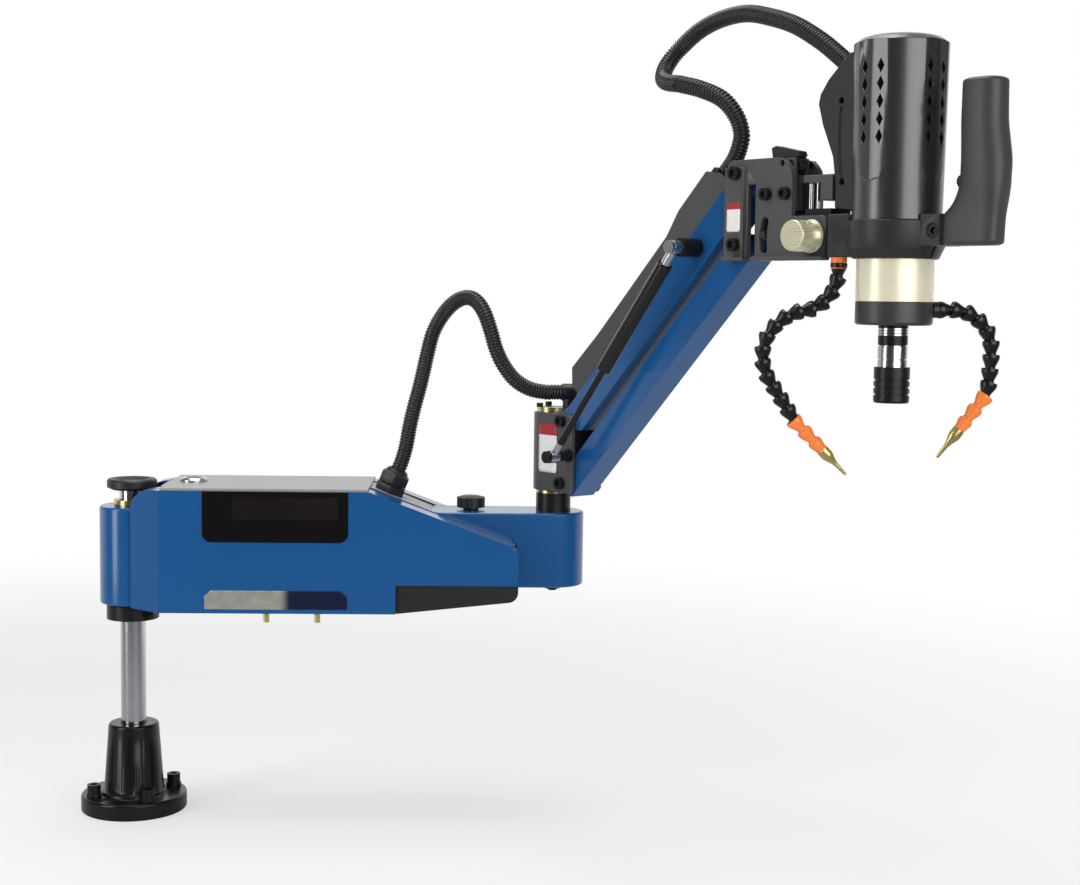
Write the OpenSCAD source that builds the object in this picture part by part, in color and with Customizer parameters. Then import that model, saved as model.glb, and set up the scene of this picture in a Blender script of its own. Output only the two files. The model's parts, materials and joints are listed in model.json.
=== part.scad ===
// Arm tapping machine: a column on a round flange, a swinging control arm,
// an elbow, and a balanced parallelogram forearm that keeps the head upright.
// Millimetres, +Z up, origin at the middle of the flange's underside,
// control arm along +X, screen towards -Y.

/* [Base and column] */
// Diameter of the round base flange
flange_d = 126; // [122:1:140]
// Thickness of the base flange
flange_t = 20; // [15:1:26]
// Diameter of the cone at its foot
cone_foot_d = 72; // [68:1:76]
// Diameter of the cone at its top
cone_top_d = 60; // [54:1:64]
// Height of the cone's top above the table
cone_top_z = 106; // [90:1:130]
// Diameter of the circle of base bolts
bolt_circle_d = 100; // [98:1:104]
// Thread diameter of the base bolts
base_bolt_d = 10; // [8:1:10]
// Length of the base bolts below the flange
bolt_reach = 24; // [15:1:35]
// Diameter of the ground column
column_d = 30; // [26:1:30]
// Diameter of the cap on the column
cap_d = 59; // [54:1:60]
// Height of the cap on the column
cap_h = 13; // [11:1:15]
// Diameter of the height collar
collar_d = 62; // [56:1:66]
// Height of the height collar
collar_h = 19; // [15:1:24]

/* [Control arm] */
// Height of the arm's underside above the table
arm_z = 254; // [200:1:260]
// Height of the column sleeve
sleeve_h = 118; // [114:1:122]
// Outside diameter of the column sleeve
sleeve_d = 77; // [74:1:80]
// Distance from the column to the elbow
elbow_x = 508; // [500:1:530]
// Outside diameter of the elbow boss
elbow_d = 74; // [68:1:76]
// Height of the elbow boss
elbow_h = 90; // [84:1:92]
// Width of the control housing
housing_w = 150; // [144:1:170]
// Height of the control housing
housing_h = 147; // [145:1:150]
// Distance from the column to the housing's elbow end
housing_end_x = 465; // [460:1:468]
// Distance from the column to the start of the sloping top
slope_x = 290; // [286:1:296]
// Wall of the housing covers
cover_wall = 3; // [2.5:0.5:4]
// Width of the touch panel
panel_w = 170; // [150:1:180]
// Height of the touch panel
panel_h = 60; // [50:1:64]
// Width of the badge plate
badge_w = 166; // [140:1:176]
// Height of the badge plate
badge_h = 22; // [16:1:24]

/* [Forearm] */
// Turn of the forearm towards the front
forearm_yaw = 52; // [30:1:70]
// Rise of the forearm links
link_rise = 45; // [40:1:50]
// Length of each link between its pins
link_len = 392; // [380:1:400]
// Distance between the two pins of the hub
pin_gap = 74; // [74:1:76]
// Distance from the elbow axis to the hub's pins
pin_reach = 42; // [42:1:46]
// Width of the links
link_w = 35; // [32:1:35]
// Height of the lower link
lower_link_h = 31; // [28:1:32]
// Height of the upper link
upper_link_h = 36; // [32:1:37]
// Diameter of the hub barrel
hub_d = 49; // [46:1:50]
// Height of the hub barrel
hub_h = 94; // [94:1:98]
// Diameter of the gas spring's tube
gas_tube_d = 17; // [14:1:18]
// Diameter of the gas spring's rod
gas_rod_d = 8; // [6:1:9]

/* [Head] */
// Distance from the forearm's end pins to the spindle axis
head_reach = 188; // [186:1:194]
// Diameter of the motor shell
motor_d = 91; // [88:1:92]
// Height of the motor shell
motor_h = 176; // [172:1:182]
// Diameter of the gearbox sleeve
sleeve_lower_d = 75; // [73:1:76]
// Height of the bright gearbox sleeve
bright_h = 41; // [34:1:46]
// Height of the dark end ring
end_ring_h = 23; // [18:1:28]
// Diameter of the spindle
spindle_d = 29; // [28:1:30]
// Length of the spindle below the end ring
spindle_h = 41; // [36:1:48]
// Diameter of the chuck sleeve
chuck_d = 35; // [33:1:38]
// Height of the chuck sleeve
chuck_h = 35; // [33:1:40]
// Radius of the tap socket
socket_r = 9.5; // [8:0.5:10]
// Distance from the spindle axis to the grip
grip_reach = 98; // [97:1:104]
// Width of the grip seen from the front
grip_w = 44; // [40:1:44]
// Thickness of the grip
grip_t = 35; // [30:1:36]
// Height of the grip above the clamp
grip_top = 150; // [140:1:160]
// Pitch of one coolant hose segment
hose_pitch = 13.4; // [13:0.1:14]

/* [Hidden] */
$fn = 48;

// Shared fits and small sizes
fit = 0.05;            // radial clearance of a shaft in its bore
gap = 0.3;             // clearance between moving faces
cut = 1;               // overrun of every cutter
wall = 3;              // plain sheet and tube walls
bevel = 2;             // plain machined bevels
hex_share = 0.6;       // width of a screw's hexagon over its head
head_share = 1.6;      // head diameter of a cap screw over its thread
shank_share = 0.9;     // plain shank of a rolled-thread screw over its thread

// Base
foot_ring_w = 4;
foot_ring_d = cone_foot_d + 2 * foot_ring_w;
foot_ring_h = 4;
bolt_turn = 30;
bolt_head_h = 11;
bolt_washer_t = 4;
bolt_hole_d = base_bolt_d + 1;
bore_floor_z = 8;

// Column, cap and collar
sleeve_top_z = arm_z + sleeve_h;
bush_wall = 4;
bush_d = column_d + 2 * bush_wall;
bush_len = 40;
bush_rim = 2.5;
bush_flange_d = bush_d + 2 * bush_rim;
bush_flange_t = 7;
lift_room = 12;
cap_z = sleeve_top_z + bush_flange_t + lift_room;
cap_seat_h = 8;
cap_dish_h = 3;
cap_rim = 6;
collar_z = arm_z - gap - collar_h;
collar_slot_w = 3;
collar_screw_d = 8;

// Control arm
elbow_drop = 2;
elbow_top_z = sleeve_top_z - elbow_drop;
elbow_z = elbow_top_z - elbow_h;
beam_wall = 8;
housing_top_z = arm_z + housing_h;
lid_t = 3;
cover_top_z = housing_top_z - lid_t;
housing_x = 6;
round_w = 32;
flank_x = 44;
slope_toe = 11;
slope_below = 34;       // the slope's end below the elbow's top
slope_end_x = housing_end_x - slope_toe;
slope_end_z = elbow_top_z - slope_below;
corner_r = 10;
tray_x = 321;
tray_h = 34;
tray_lift = 14;
tray_top_z = arm_z + tray_h;
tray_end_z = arm_z + tray_lift;
tray_corner_r = 12;
tray_angle = atan2(tray_lift, housing_end_x - tray_x - tray_corner_r);
cap_room = 5;
slope_angle = atan2(housing_top_z - slope_end_z, slope_end_x - slope_x);
panel_x = 95;
panel_t = 4;
panel_proud = 0.6;
panel_corner_r = 11;
badge_x = 98;
badge_lift = 5;
badge_z = arm_z + badge_lift;
badge_t = 2;
badge_corner = 7;
nipple_xs = [168, 228];
nipple_y = -58;
nipple_d = 9;
nipple_len = 13;
nipple_flange_d = 12;
nipple_flange_t = 3;
nipple_bore_d = 4;
connector_x = 74;
connector_d = 33;
connector_h = 5;
connector_dots = 8;
connector_dot_d = 3;
gland_x = 309;
gland_ring_d = 40;
gland_ring_h = 8;
gland_nut_w = 36;
gland_nut_h = 20;
gland_top_h = 5;
conduit_d = 18.6;
conduit_bore_d = 13;
board_w = 150;
board_h = 80;
board_t = 12;
board_x = 120;

// Elbow shaft, knob and hub
shaft_low_d = 30;
shaft_collar_d = 42;
shaft_collar_h = 22;
journal_d = 26;
hub_bush_t = 4;
hub_z = elbow_top_z + shaft_collar_h + hub_bush_t;
hub_top_z = hub_z + hub_h;
hub_bush_wall = 4;
hub_bush_len = 30;
hub_flange_d = 42;
hub_flange_top_t = 6;
elbow_stud_d = 10;
elbow_nut_w = 17;
elbow_nut_h = 6;
knob_back = 100;
knob_x = elbow_x - knob_back;
knob_d = 38;
knob_h = 14;
knob_stem_d = 10;
knob_stem_h = 3;
knob_depth = 20;
knob_lobes = 6;
knob_lobe_share = 0.56;
ear_gap = gap * 2;
ear_in = link_w / 2 + ear_gap;
ear_t = 6.4;
ear_out = ear_in + ear_t;
ear_beyond = 18;
ear_reach = pin_reach + ear_beyond;
ear_corner = 5;
pin_d = 10;
pin_head_d = 14;
pin_head_h = 6;
pin_nut_h = 5;
pin_lift = 12;
pin_low_z = hub_z + pin_lift;
pin_high_z = pin_low_z + pin_gap;
top_screw_d = 5;
top_screw_h = 5;
top_screw_in = 4;
socket_x = 8.3;
socket_y = 10;
socket_z = 18;
socket_d = 21;
socket_len = 18;
socket_post_d = 16;

// Links
link_end_r = 12;
lower_link_bottom = lower_link_h - link_end_r;
upper_link_top = 10;
upper_link_bottom = upper_link_h - upper_link_top;
link_wall = 3;
link_boss_d = 20;
cover_start = 36;
cover_back = 22;
cover_end = link_len - cover_back;
cover_w = 32;
cover_low_h = 30;
cover_mid_h = 27;
cover_high_h = 34;
cover_nose = 14;
cover_fall = 75;
cover_rise = 104;
cover_box = 71;
cover_gland_back = 26.4;
cover_gland_x = link_len - cover_gland_back;
cover_gland_t = 12;
cover_gland_h = 30;
cover_gland_z = 22.6;

// Gas spring, on the hub and on the upper link
gas_low_out = 14;
gas_low_up = 34;
gas_back = 100.7;
gas_along = link_len - gas_back;
gas_above = -7.1;
gas_low_x = pin_reach + gas_low_out;
gas_low_z = pin_low_z + gas_low_up;
gas_high_x = pin_reach + gas_along * cos(link_rise) - gas_above * sin(link_rise);
gas_high_z = pin_high_z + gas_along * sin(link_rise) + gas_above * cos(link_rise);
gas_y = 50;
gas_stud_d = 12;
gas_eye_d = 15;
gas_eye_t = 12;
gas_head_d = 14;
gas_head_h = 5;
gas_rod_end = 30;
gas_tube_len = 150;
gas_tube_cap_h = 18;
gas_tube_cap_d = 11;
gas_boss_d = 20;
gas_end_len = 24;
gas_dx = gas_high_x - gas_low_x;
gas_dz = gas_high_z - gas_low_z;
gas_len = norm([gas_dx, gas_dz]);
gas_angle = atan2(gas_dz, gas_dx);
gas_tube_start = gas_len - gas_end_len - gas_tube_len;

// End bracket, measured from the forearm's lower end pin
end_x = pin_reach + link_len * cos(link_rise);
end_z = pin_low_z + link_len * sin(link_rise);
cheek_t = 6.5;
cheek_in = ear_in;
cheek_out = cheek_in + cheek_t;
cheek_left = -16;
cheek_right = 74;
cheek_above = 14;
cheek_top = pin_gap + cheek_above;
cheek_bottom = -13;
cheek_round = 22;
nose_right = 121;
nose_top = 28;
nose_round = 8;
strip_w = 27;
strip_t = 4;
slot_left = 14;
slot_w = 10;
slot_top = 62;
web_left = 30;
web_right = 62;
web_bottom = 33;
flange_lip_t = 4;
flange_lip_w = 8;
tilt_x = 102;
tilt_z = 7;
tilt_slot_r = 66;
tilt_slot_w = 9;
tilt_half_angle = 12;
tilt_mid_angle = 178;
tilt_pin_d = 8;
tongue_end_r = 7;
tongue_hub_r = 18;
side_bolt_d = 8;
side_bolt_z = 51;
side_bolt_places = [[40, side_bolt_z], [66, side_bolt_z]];

// Tilt knob, latch and lever
knob_pin_d = 10;
tilt_knob_d = 31;
tilt_knob_len = 27;
tilt_washer_d = 34;
tilt_washer_t = 3;
tilt_hole_d = 6;
tilt_hole_share = 0.6;
latch_left = 84;
latch_right = 118;
latch_w = 30;
latch_guide_h = 7;
latch_pin_d = 5;
latch_pin_len = 34;
latch_pin_xs = [85, 95];
latch_block_lift = 8;
latch_block_h = 26;
latch_block_right = 119;
latch_step_h = 8;
lever_x = 60;
lever_drop = 6;
lever_z = cheek_top - lever_drop;
lever_hub_d = 20;
lever_w = 12;
lever_pin_d = 6;
lever_tab_left = 28;
lever_tab_right = 68;
lever_tab_h = 14;
lever_lug_t = 5;

// Head, measured from the forearm's lower end pin
band_top = 21;
band_bottom = -4;
band_wall = 1.5;
band_d = motor_d + 2 * band_wall;
seat_h = 12;
seat_wall = 4;
seat_bottom = band_bottom - seat_h;
seat_low_d = sleeve_lower_d + 2 * seat_wall;
bright_bottom = seat_bottom - bright_h;
end_ring_bottom = bright_bottom - end_ring_h;
spindle_bottom = end_ring_bottom - spindle_h;
chuck_bottom = spindle_bottom - chuck_h;
arm_block_left = 129;
arm_block_w = 66;
arm_block_top = 28;
arm_block_bottom = -14;
shell_wall = 3.5;
shell_top = band_top + motor_h;
shell_bevel = 7;
shell_dome = 3;
shell_crown_d = 24;
vent_half_angle = 24;
vent_ridge = 2.4;
vent_rim = 1.6;
vent_lift = 37;
vent_bottom = band_top + vent_lift;
vent_rows = 5;
vent_pitch = 16.6;
vent_step = 41;
vent_first = vent_bottom + vent_step;
vent_x = 9.5;
vent_hole_w = 7;
vent_hole_h = 13.5;
shroud_w = 32;
shroud_hole_d = 5;
shroud_hole_shares = [[1.32, 0.676], [1.25, 0.222]];
shroud_inlet = [-67.4, 178.5];
shroud_inlet_turn = 128;
shroud_inlet_d = 21;
shroud_inlet_len = 17;
bearing_d = 58;
journal_step = 1.5;
bearing_bore_d = spindle_d - 2 * journal_step;
bearing_h = 14;
servo_d = 68;
servo_h = 130;
servo_flange_h = 8;
shaft_room = 6;
shaft_top = band_top - shaft_room;
nose_d = 25;
chuck_step_h = 6;
chuck_travel = 5;
groove_d = 1.2;
groove_pitch = 7;
lug_top = 26;
lug_half = 18;
grip_web_w = 26;
trigger_z = 56;
trigger_d = 12;
trigger_proud = 3.5;
trigger_depth = 12;
clamp_screw_d = 8;
clamp_x = 56;
clamp_z = 10;

// Coolant hoses: chains of ball and socket segments. The lists give each
// segment's angle from straight down, positive towards the column.
hose_ball_r = 5.4;
hose_play = 0.25;
hose_shell_t = 1.7;
hose_bore_r = 2.4;
hose_neck_r = 3.3;
hose_mouth = 2.2;
left_angles = [4, 22, 40, 60, 78, 66, 50, 36, 16, -2, -19, -32, -34, -33, -32];
right_angles = [-90, -78, -58, -40, -18, -2, 3, 4, 18];
nozzle_len = 24;
nozzle_d = 15;
tip_len = 28;
tip_d = 9;
tip_end_d = 4;
tip_bore_d = 2;
fitting_d = 16;
fitting_h = 9;
left_root = [-50, 25];
stem_d = 8;
stem_len = 6;
left_turn = -45;
right_turn = 37;
tip_hex_share = 1.2;

// Conduit routes in the machine's frame, from gland to socket
conduit_rib = 1.2;
conduit_sides = 8;
conduit_step = 4;
lower_ribs = 78;
upper_ribs = 96;
lower_route = [[319.5, 0, 417], [324, 0, 428], [329, 1, 446], [333, 4, 469], [338, 8, 492],
    [344, 12, 515], [349, 17, 537], [353, 21, 556], [360, 24, 583], [372, 21, 605],
    [386, 12, 620], [400, 0, 626], [412, -11, 622], [422, -19, 608], [430, -23, 586],
    [436, -24, 566], [445, -23, 547], [459, -20, 529], [477, -15, 518], [496, -11, 514],
    [506, -10, 514], [516, -10, 514]];
upper_route = [[679, -219, 764], [686, -228, 776], [690, -236, 789], [691, -241, 803],
    [685, -241, 821], [671, -235, 839], [650, -219, 851], [630, -196, 859], [618, -170, 864],
    [617, -146, 873], [623, -131, 888], [637, -131, 906], [656, -152, 923], [676, -184, 931],
    [697, -221, 931], [717, -256, 922], [737, -289, 909], [757, -318, 890], [771, -336, 874],
    [779, -346, 864]];

// Points of an arc, from one angle to another
function arc(x, y, r, a0, a1, n = 6) =
    [for (i = [0 : n]) let (a = a0 + (a1 - a0) * i / n) [x + r * cos(a), y + r * sin(a)]];

// Points of an ellipse
function ellipse(x, y, rx, ry, n = 28) =
    [for (i = [0 : n - 1]) let (a = 360 * i / n) [x + rx * cos(a), y + ry * sin(a)]];

// A profile in X and Z given a width along Y, centred
module slab(points, w) {
    translate([0, w / 2, 0]) rotate([90, 0, 0]) linear_extrude(w) polygon(points);
}

// A slab between two Y places
module slab_between(points, y0, y1) {
    translate([0, y1, 0]) rotate([90, 0, 0]) linear_extrude(y1 - y0) polygon(points);
}

// A cylinder along Y between two Y places
module rod_y(d, y0, y1) {
    translate([0, y1, 0]) rotate([90, 0, 0]) cylinder(d = d, h = y1 - y0);
}

// A tube along Z
module tube(d, bore, h) {
    difference() {
        cylinder(d = d, h = h);
        translate([0, 0, -cut]) cylinder(d = bore, h = h + 2 * cut);
    }
}

// A cap screw, head up, its seat at zero, with a plain shank below the head
module cap_screw(d, len, head_h, plain = 0) {
    difference() {
        union() {
            translate([0, 0, -len]) cylinder(d = d, h = len - plain);
            translate([0, 0, -plain - bevel])
                cylinder(d = d * shank_share, h = plain + bevel + head_h / 2);
            cylinder(d = d * head_share, h = head_h);
        }
        translate([0, 0, head_h / 2])
            cylinder(d = d * head_share * hex_share, h = head_h, $fn = 6);
    }
}

// Places
module at_forearm() {
    translate([elbow_x, 0, 0]) rotate([0, 0, -forearm_yaw]) children();
}
module at_lower_link() {
    at_forearm() translate([pin_reach, 0, pin_low_z]) rotate([0, -link_rise, 0]) children();
}
module at_upper_link() {
    at_forearm() translate([pin_reach, 0, pin_high_z]) rotate([0, -link_rise, 0]) children();
}
module at_end() {
    at_forearm() translate([end_x, 0, end_z]) children();
}
module at_head() {
    at_end() translate([head_reach, 0, 0]) children();
}
module at_gas() {
    at_forearm() translate([gas_low_x, -gas_y, gas_low_z]) rotate([0, -gas_angle, 0]) children();
}
module at_bolts() {
    for (i = [0 : 3]) rotate([0, 0, bolt_turn + 90 * i]) translate([bolt_circle_d / 2, 0, 0])
        children();
}

// Base and column

module base_flange() {
    color("#1b1b1c") difference() {
        union() {
            cylinder(d = flange_d, h = flange_t - bevel);
            translate([0, 0, flange_t - bevel])
                cylinder(d1 = flange_d, d2 = flange_d - 2 * bevel, h = bevel);
            cylinder(d = foot_ring_d, h = flange_t + foot_ring_h);
            translate([0, 0, flange_t])
                cylinder(d1 = cone_foot_d, d2 = cone_top_d, h = cone_top_z - flange_t - bevel);
            translate([0, 0, cone_top_z - bevel])
                cylinder(d1 = cone_top_d, d2 = cone_top_d - 2 * bevel, h = bevel);
        }
        translate([0, 0, bore_floor_z]) cylinder(d = column_d + 2 * fit, h = cone_top_z);
        at_bolts() translate([0, 0, -cut]) cylinder(d = bolt_hole_d, h = flange_t + 2 * cut);
    }
}

module base_bolts() {
    color("#141414") at_bolts() translate([0, 0, flange_t]) {
        tube(base_bolt_d * head_share + bevel, base_bolt_d + 2 * fit, bolt_washer_t);
        translate([0, 0, bolt_washer_t])
            cap_screw(base_bolt_d, bolt_reach + flange_t + bolt_washer_t, bolt_head_h,
                flange_t + bolt_washer_t);
    }
}

module column() {
    color("#c9ccd0") translate([0, 0, bore_floor_z])
        cylinder(d = column_d, h = cap_z + cap_seat_h - bore_floor_z);
}

module column_cap() {
    r = cap_d / 2;
    seat_r = column_d / 2 + fit;
    color("#151515") translate([0, 0, cap_z]) rotate_extrude($fn = 64) polygon([
        [seat_r, 0], [r - cap_rim, 0], [r, cap_rim / 2], [r, cap_h - bevel],
        [r - bevel, cap_h], [r - cap_rim, cap_h], [r - 2 * cap_rim, cap_h - cap_dish_h],
        [0, cap_h - cap_dish_h], [0, cap_seat_h], [seat_r, cap_seat_h]]);
}

module column_collar() {
    color("#171717") translate([0, 0, collar_z]) difference() {
        union() {
            cylinder(d = collar_d, h = collar_h - bevel);
            translate([0, 0, collar_h - bevel])
                cylinder(d1 = collar_d, d2 = collar_d - bevel, h = bevel);
        }
        translate([0, 0, -cut]) cylinder(d = column_d + 2 * fit, h = collar_h + 2 * cut);
        translate([0, -collar_slot_w / 2, -cut])
            cube([collar_d, collar_slot_w, collar_h + 2 * cut]);
        at_collar_screw() collar_screw_body(fit);
    }
}

module at_collar_screw() {
    translate([(collar_d + column_d) / 4, -column_d / 2, collar_h / 2]) rotate([90, 0, 0])
        children();
}

module collar_screw_body(play) {
    translate([0, 0, -column_d]) cylinder(d = collar_screw_d + 2 * play, h = column_d);
    cylinder(d = collar_screw_d * head_share + 2 * play, h = collar_d / 2 * (play > 0 ? 1 : 1 / 5));
}

module collar_screw() {
    color("#202020") translate([0, 0, collar_z]) at_collar_screw() difference() {
        collar_screw_body(0);
        translate([0, 0, collar_d / 20])
            cylinder(d = collar_screw_d * hex_share * head_share, h = collar_d, $fn = 6);
    }
}

// Control arm

module arm_casting() {
    color("#24598f") difference() {
        union() {
            translate([0, 0, arm_z]) cylinder(d = sleeve_d, h = sleeve_h, $fn = 72);
            translate([elbow_x, 0, elbow_z]) cylinder(d = elbow_d, h = elbow_h, $fn = 72);
            translate([0, -elbow_d / 2, elbow_z]) cube([elbow_x, elbow_d, elbow_h]);
        }
        translate([0, 0, arm_z - cut]) cylinder(d = bush_d + 2 * fit, h = sleeve_h + 2 * cut);
        translate([elbow_x, 0, elbow_z - cut])
            cylinder(d = shaft_low_d + 2 * fit, h = elbow_h + 2 * cut);
        translate([sleeve_d / 2 + beam_wall, beam_wall - elbow_d / 2, elbow_z - cut])
            cube([knob_x - sleeve_d / 2 - 4 * beam_wall, elbow_d - 2 * beam_wall,
                elbow_h - beam_wall + cut]);
        translate([knob_x, 0, elbow_top_z - knob_depth])
            cylinder(d = knob_stem_d + 2 * fit, h = knob_depth + cut);
        translate([knob_x, -collar_slot_w / 2, elbow_z - cut])
            cube([elbow_x - knob_x, collar_slot_w, elbow_h - knob_depth - beam_wall]);
        gland_hole();
    }
}

module column_bushes() {
    bore = column_d + 2 * fit;
    color("#b08d4a") {
        translate([0, 0, arm_z]) tube(bush_d, bore, bush_len);
        translate([0, 0, sleeve_top_z - bush_len]) tube(bush_d, bore, bush_len);
        translate([0, 0, sleeve_top_z]) tube(bush_flange_d, bore, bush_flange_t);
    }
}

// Side outline of the housing, drawn in by a wall
function housing_side(in) = concat(
    [[housing_x + in, arm_z + in], [housing_x + in, sleeve_top_z]],
    [for (i = [0 : 7]) let (a = 180 - 90 * i / 7)
        [housing_x + round_w + (round_w - in) * cos(a),
         sleeve_top_z + (cover_top_z - in - sleeve_top_z) * sin(a)]],
    [[slope_x, cover_top_z - in]],
    [[slope_end_x - in, slope_end_z - in]],
    arc(housing_end_x - corner_r, slope_end_z - lid_t - corner_r, corner_r - in,
        90 - slope_angle, 0),
    [[housing_end_x - in, tray_top_z + in], [tray_x - in, tray_top_z + in],
     [tray_x - in, arm_z + in]]);

// Plan outline of the housing, drawn in by a wall
function housing_plan(in) = let (w = housing_w / 2 - in, s = sleeve_d / 2 - in) [
    [0, -s], [flank_x + in / 2, -w], [housing_end_x - bevel, -w], [housing_end_x, bevel - w],
    [housing_end_x, w - bevel], [housing_end_x - bevel, w], [flank_x + in / 2, w], [0, s]];

module housing_body(in) {
    intersection() {
        slab(housing_side(in), 2 * housing_w);
        linear_extrude(2 * housing_top_z) polygon(housing_plan(in));
    }
}

// Half of the housing as a shell, its open side against the casting
module housing_half() {
    difference() {
        housing_body(0);
        housing_body(cover_wall);
        translate([-housing_end_x, -elbow_d / 2, 0])
            cube([2 * elbow_x, 2 * housing_w, 2 * housing_top_z]);
        cylinder(d = sleeve_d + 2 * fit, h = sleeve_top_z);
        translate([0, 0, sleeve_top_z - cut]) cylinder(d = cap_d + 2 * cap_room, h = housing_h);
    }
}

module front_cover() {
    color("#22568a") difference() {
        housing_half();
        touch_panel_body(fit);
        badge_body(fit);
        for (x = nipple_xs) translate([x, nipple_y, arm_z - cut])
            cylinder(d = nipple_d + 2 * fit, h = cover_wall + 2 * cut);
        gland_hole();
    }
}

module rear_cover() {
    color("#22568a") difference() {
        mirror([0, 1, 0]) housing_half();
        gland_hole();
    }
}

module at_slope(x) {
    translate([x, 0, cover_top_z - (x - slope_x) * tan(slope_angle)])
        rotate([0, slope_angle, 0]) children();
}

module gland_hole() {
    at_slope(gland_x) translate([0, 0, -housing_h / 4]) cylinder(d = gland_ring_d, h = housing_h / 4);
}

module top_lid() {
    deck_x = max(cap_d / 2 + cap_room, sleeve_d / 2 + gap);
    w = housing_w - 2 * bevel;
    color("#8f9da8") difference() {
        union() {
            translate([flank_x + bevel, -w / 2, cover_top_z])
                cube([slope_x - flank_x - 2 * bevel, w, lid_t]);
            translate([deck_x, -elbow_d / 2, elbow_top_z])
                cube([slope_x - deck_x, elbow_d, cover_top_z - elbow_top_z]);
            slab([[slope_x, elbow_top_z], [slope_x, cover_top_z],
                [slope_x + (cover_top_z - elbow_top_z) / tan(slope_angle), elbow_top_z]], elbow_d);
        }
        translate([connector_x, 0, cover_top_z - beam_wall])
            cylinder(d = connector_d * hex_share + 2 * fit, h = 2 * beam_wall);
        at_slope(gland_x) translate([0, 0, -beam_wall]) cylinder(d = conduit_d, h = housing_h);
        touch_panel_body(fit);
    }
}

// Side outline of the tray under the housing's elbow end
function tray_side(in) = concat(
    [[tray_x + in, arm_z + in], [tray_x + in, tray_top_z - gap],
     [housing_end_x - in, tray_top_z - gap]],
    arc(housing_end_x - tray_corner_r, tray_end_z + tray_corner_r, tray_corner_r - in, 0,
        tray_angle - 90));

module lower_tray() {
    w = housing_w - 2 * bevel;
    color("#121212") difference() {
        slab(tray_side(0), w);
        slab(tray_side(cover_wall), w - 2 * cover_wall);
        translate([tray_x + cover_wall, cover_wall - w / 2, tray_top_z - cover_wall - cut])
            cube([housing_end_x - tray_x - 2 * cover_wall, w - 2 * cover_wall, 2 * cover_wall]);
        translate([0, -elbow_d / 2 - gap, elbow_z - gap])
            cube([elbow_x, elbow_d + 2 * gap, elbow_h]);
    }
}

module touch_panel_body(play) {
    r = panel_corner_r + play;
    x0 = panel_x - play;
    x1 = panel_x + panel_w + play;
    z0 = cover_top_z - panel_h - play;
    slab_between(concat([[x0, cover_top_z]], arc(x0 + r, z0 + r, r, 180, 270),
        arc(x1 - r, z0 + r, r, 270, 360), [[x1, cover_top_z]]),
        -housing_w / 2 - panel_proud, panel_t - housing_w / 2 + play);
}

module touch_panel() {
    color("#0d0d0f") touch_panel_body(0);
}

module badge_body(play) {
    x0 = badge_x - play;
    x1 = badge_x + badge_w + play;
    slab_between([[x0, badge_z], [x1, badge_z], [x1, badge_z + badge_h - badge_corner],
        [x1 - badge_corner, badge_z + badge_h], [x0 + badge_corner, badge_z + badge_h],
        [x0, badge_z + badge_h - badge_corner]],
        -housing_w / 2 - cut, badge_t - housing_w / 2 + play);
}

module badge_plate() {
    color("#c9cccf") difference() {
        badge_body(0);
        translate([0, -housing_w / 2 - 2 * cut, 0])
            cube([housing_end_x, cut + panel_proud, housing_top_z]);
    }
}

module air_nipples() {
    color("#c0a050") for (x = nipple_xs) translate([x, nipple_y, arm_z - nipple_len])
        difference() {
            union() {
                cylinder(d = nipple_d - bevel, h = nipple_len);
                translate([0, 0, nipple_len - nipple_flange_t])
                    cylinder(d = nipple_flange_d, h = nipple_flange_t, $fn = 6);
                translate([0, 0, nipple_len - cut]) cylinder(d = nipple_d, h = cover_wall + cut);
            }
            translate([0, 0, -cut]) cylinder(d = nipple_bore_d, h = nipple_len + cover_wall + 3 * cut);
        }
}

module power_connector() {
    color("#b9bcc0") translate([connector_x, 0, housing_top_z]) difference() {
        union() {
            cylinder(d = connector_d, h = connector_h - bevel);
            translate([0, 0, connector_h - bevel])
                cylinder(d1 = connector_d, d2 = connector_d - 2 * bevel, h = bevel);
            translate([0, 0, -beam_wall]) cylinder(d = connector_d * hex_share, h = beam_wall + cut);
        }
        for (i = [0 : connector_dots - 1]) rotate([0, 0, 360 * i / connector_dots])
            translate([connector_d / 3, 0, connector_h - bevel])
                cylinder(d = connector_dot_d, h = connector_h);
    }
}

module cable_gland() {
    bore = conduit_bore_d;
    color("#161616") at_slope(gland_x) difference() {
        union() {
            translate([0, 0, -gland_ring_h]) cylinder(d = conduit_d - 2 * fit, h = 2 * gland_ring_h);
            cylinder(d = gland_ring_d, h = gland_ring_h);
            translate([0, 0, gland_ring_h])
                cylinder(d = gland_nut_w / cos(30), h = gland_nut_h - gland_top_h, $fn = 6);
            translate([0, 0, gland_ring_h + gland_nut_h - gland_top_h])
                cylinder(d1 = gland_nut_w, d2 = conduit_d + 2 * bevel, h = gland_top_h);
        }
        translate([0, 0, -housing_h]) cylinder(d = bore, h = 2 * housing_h);
    }
}

module drive_board() {
    color("#2c6b3f") {
        y0 = elbow_d / 2 + gap;
        translate([board_x, y0, arm_z + board_t]) cube([board_w, board_t, board_h]);
        for (i = [0 : 3])
            translate([board_x + board_t + i * board_w / 4, y0 + board_t, arm_z + 2 * board_t])
            cube([board_t, board_t / 2, board_h / 2]);
    }
}

// Elbow

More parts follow.
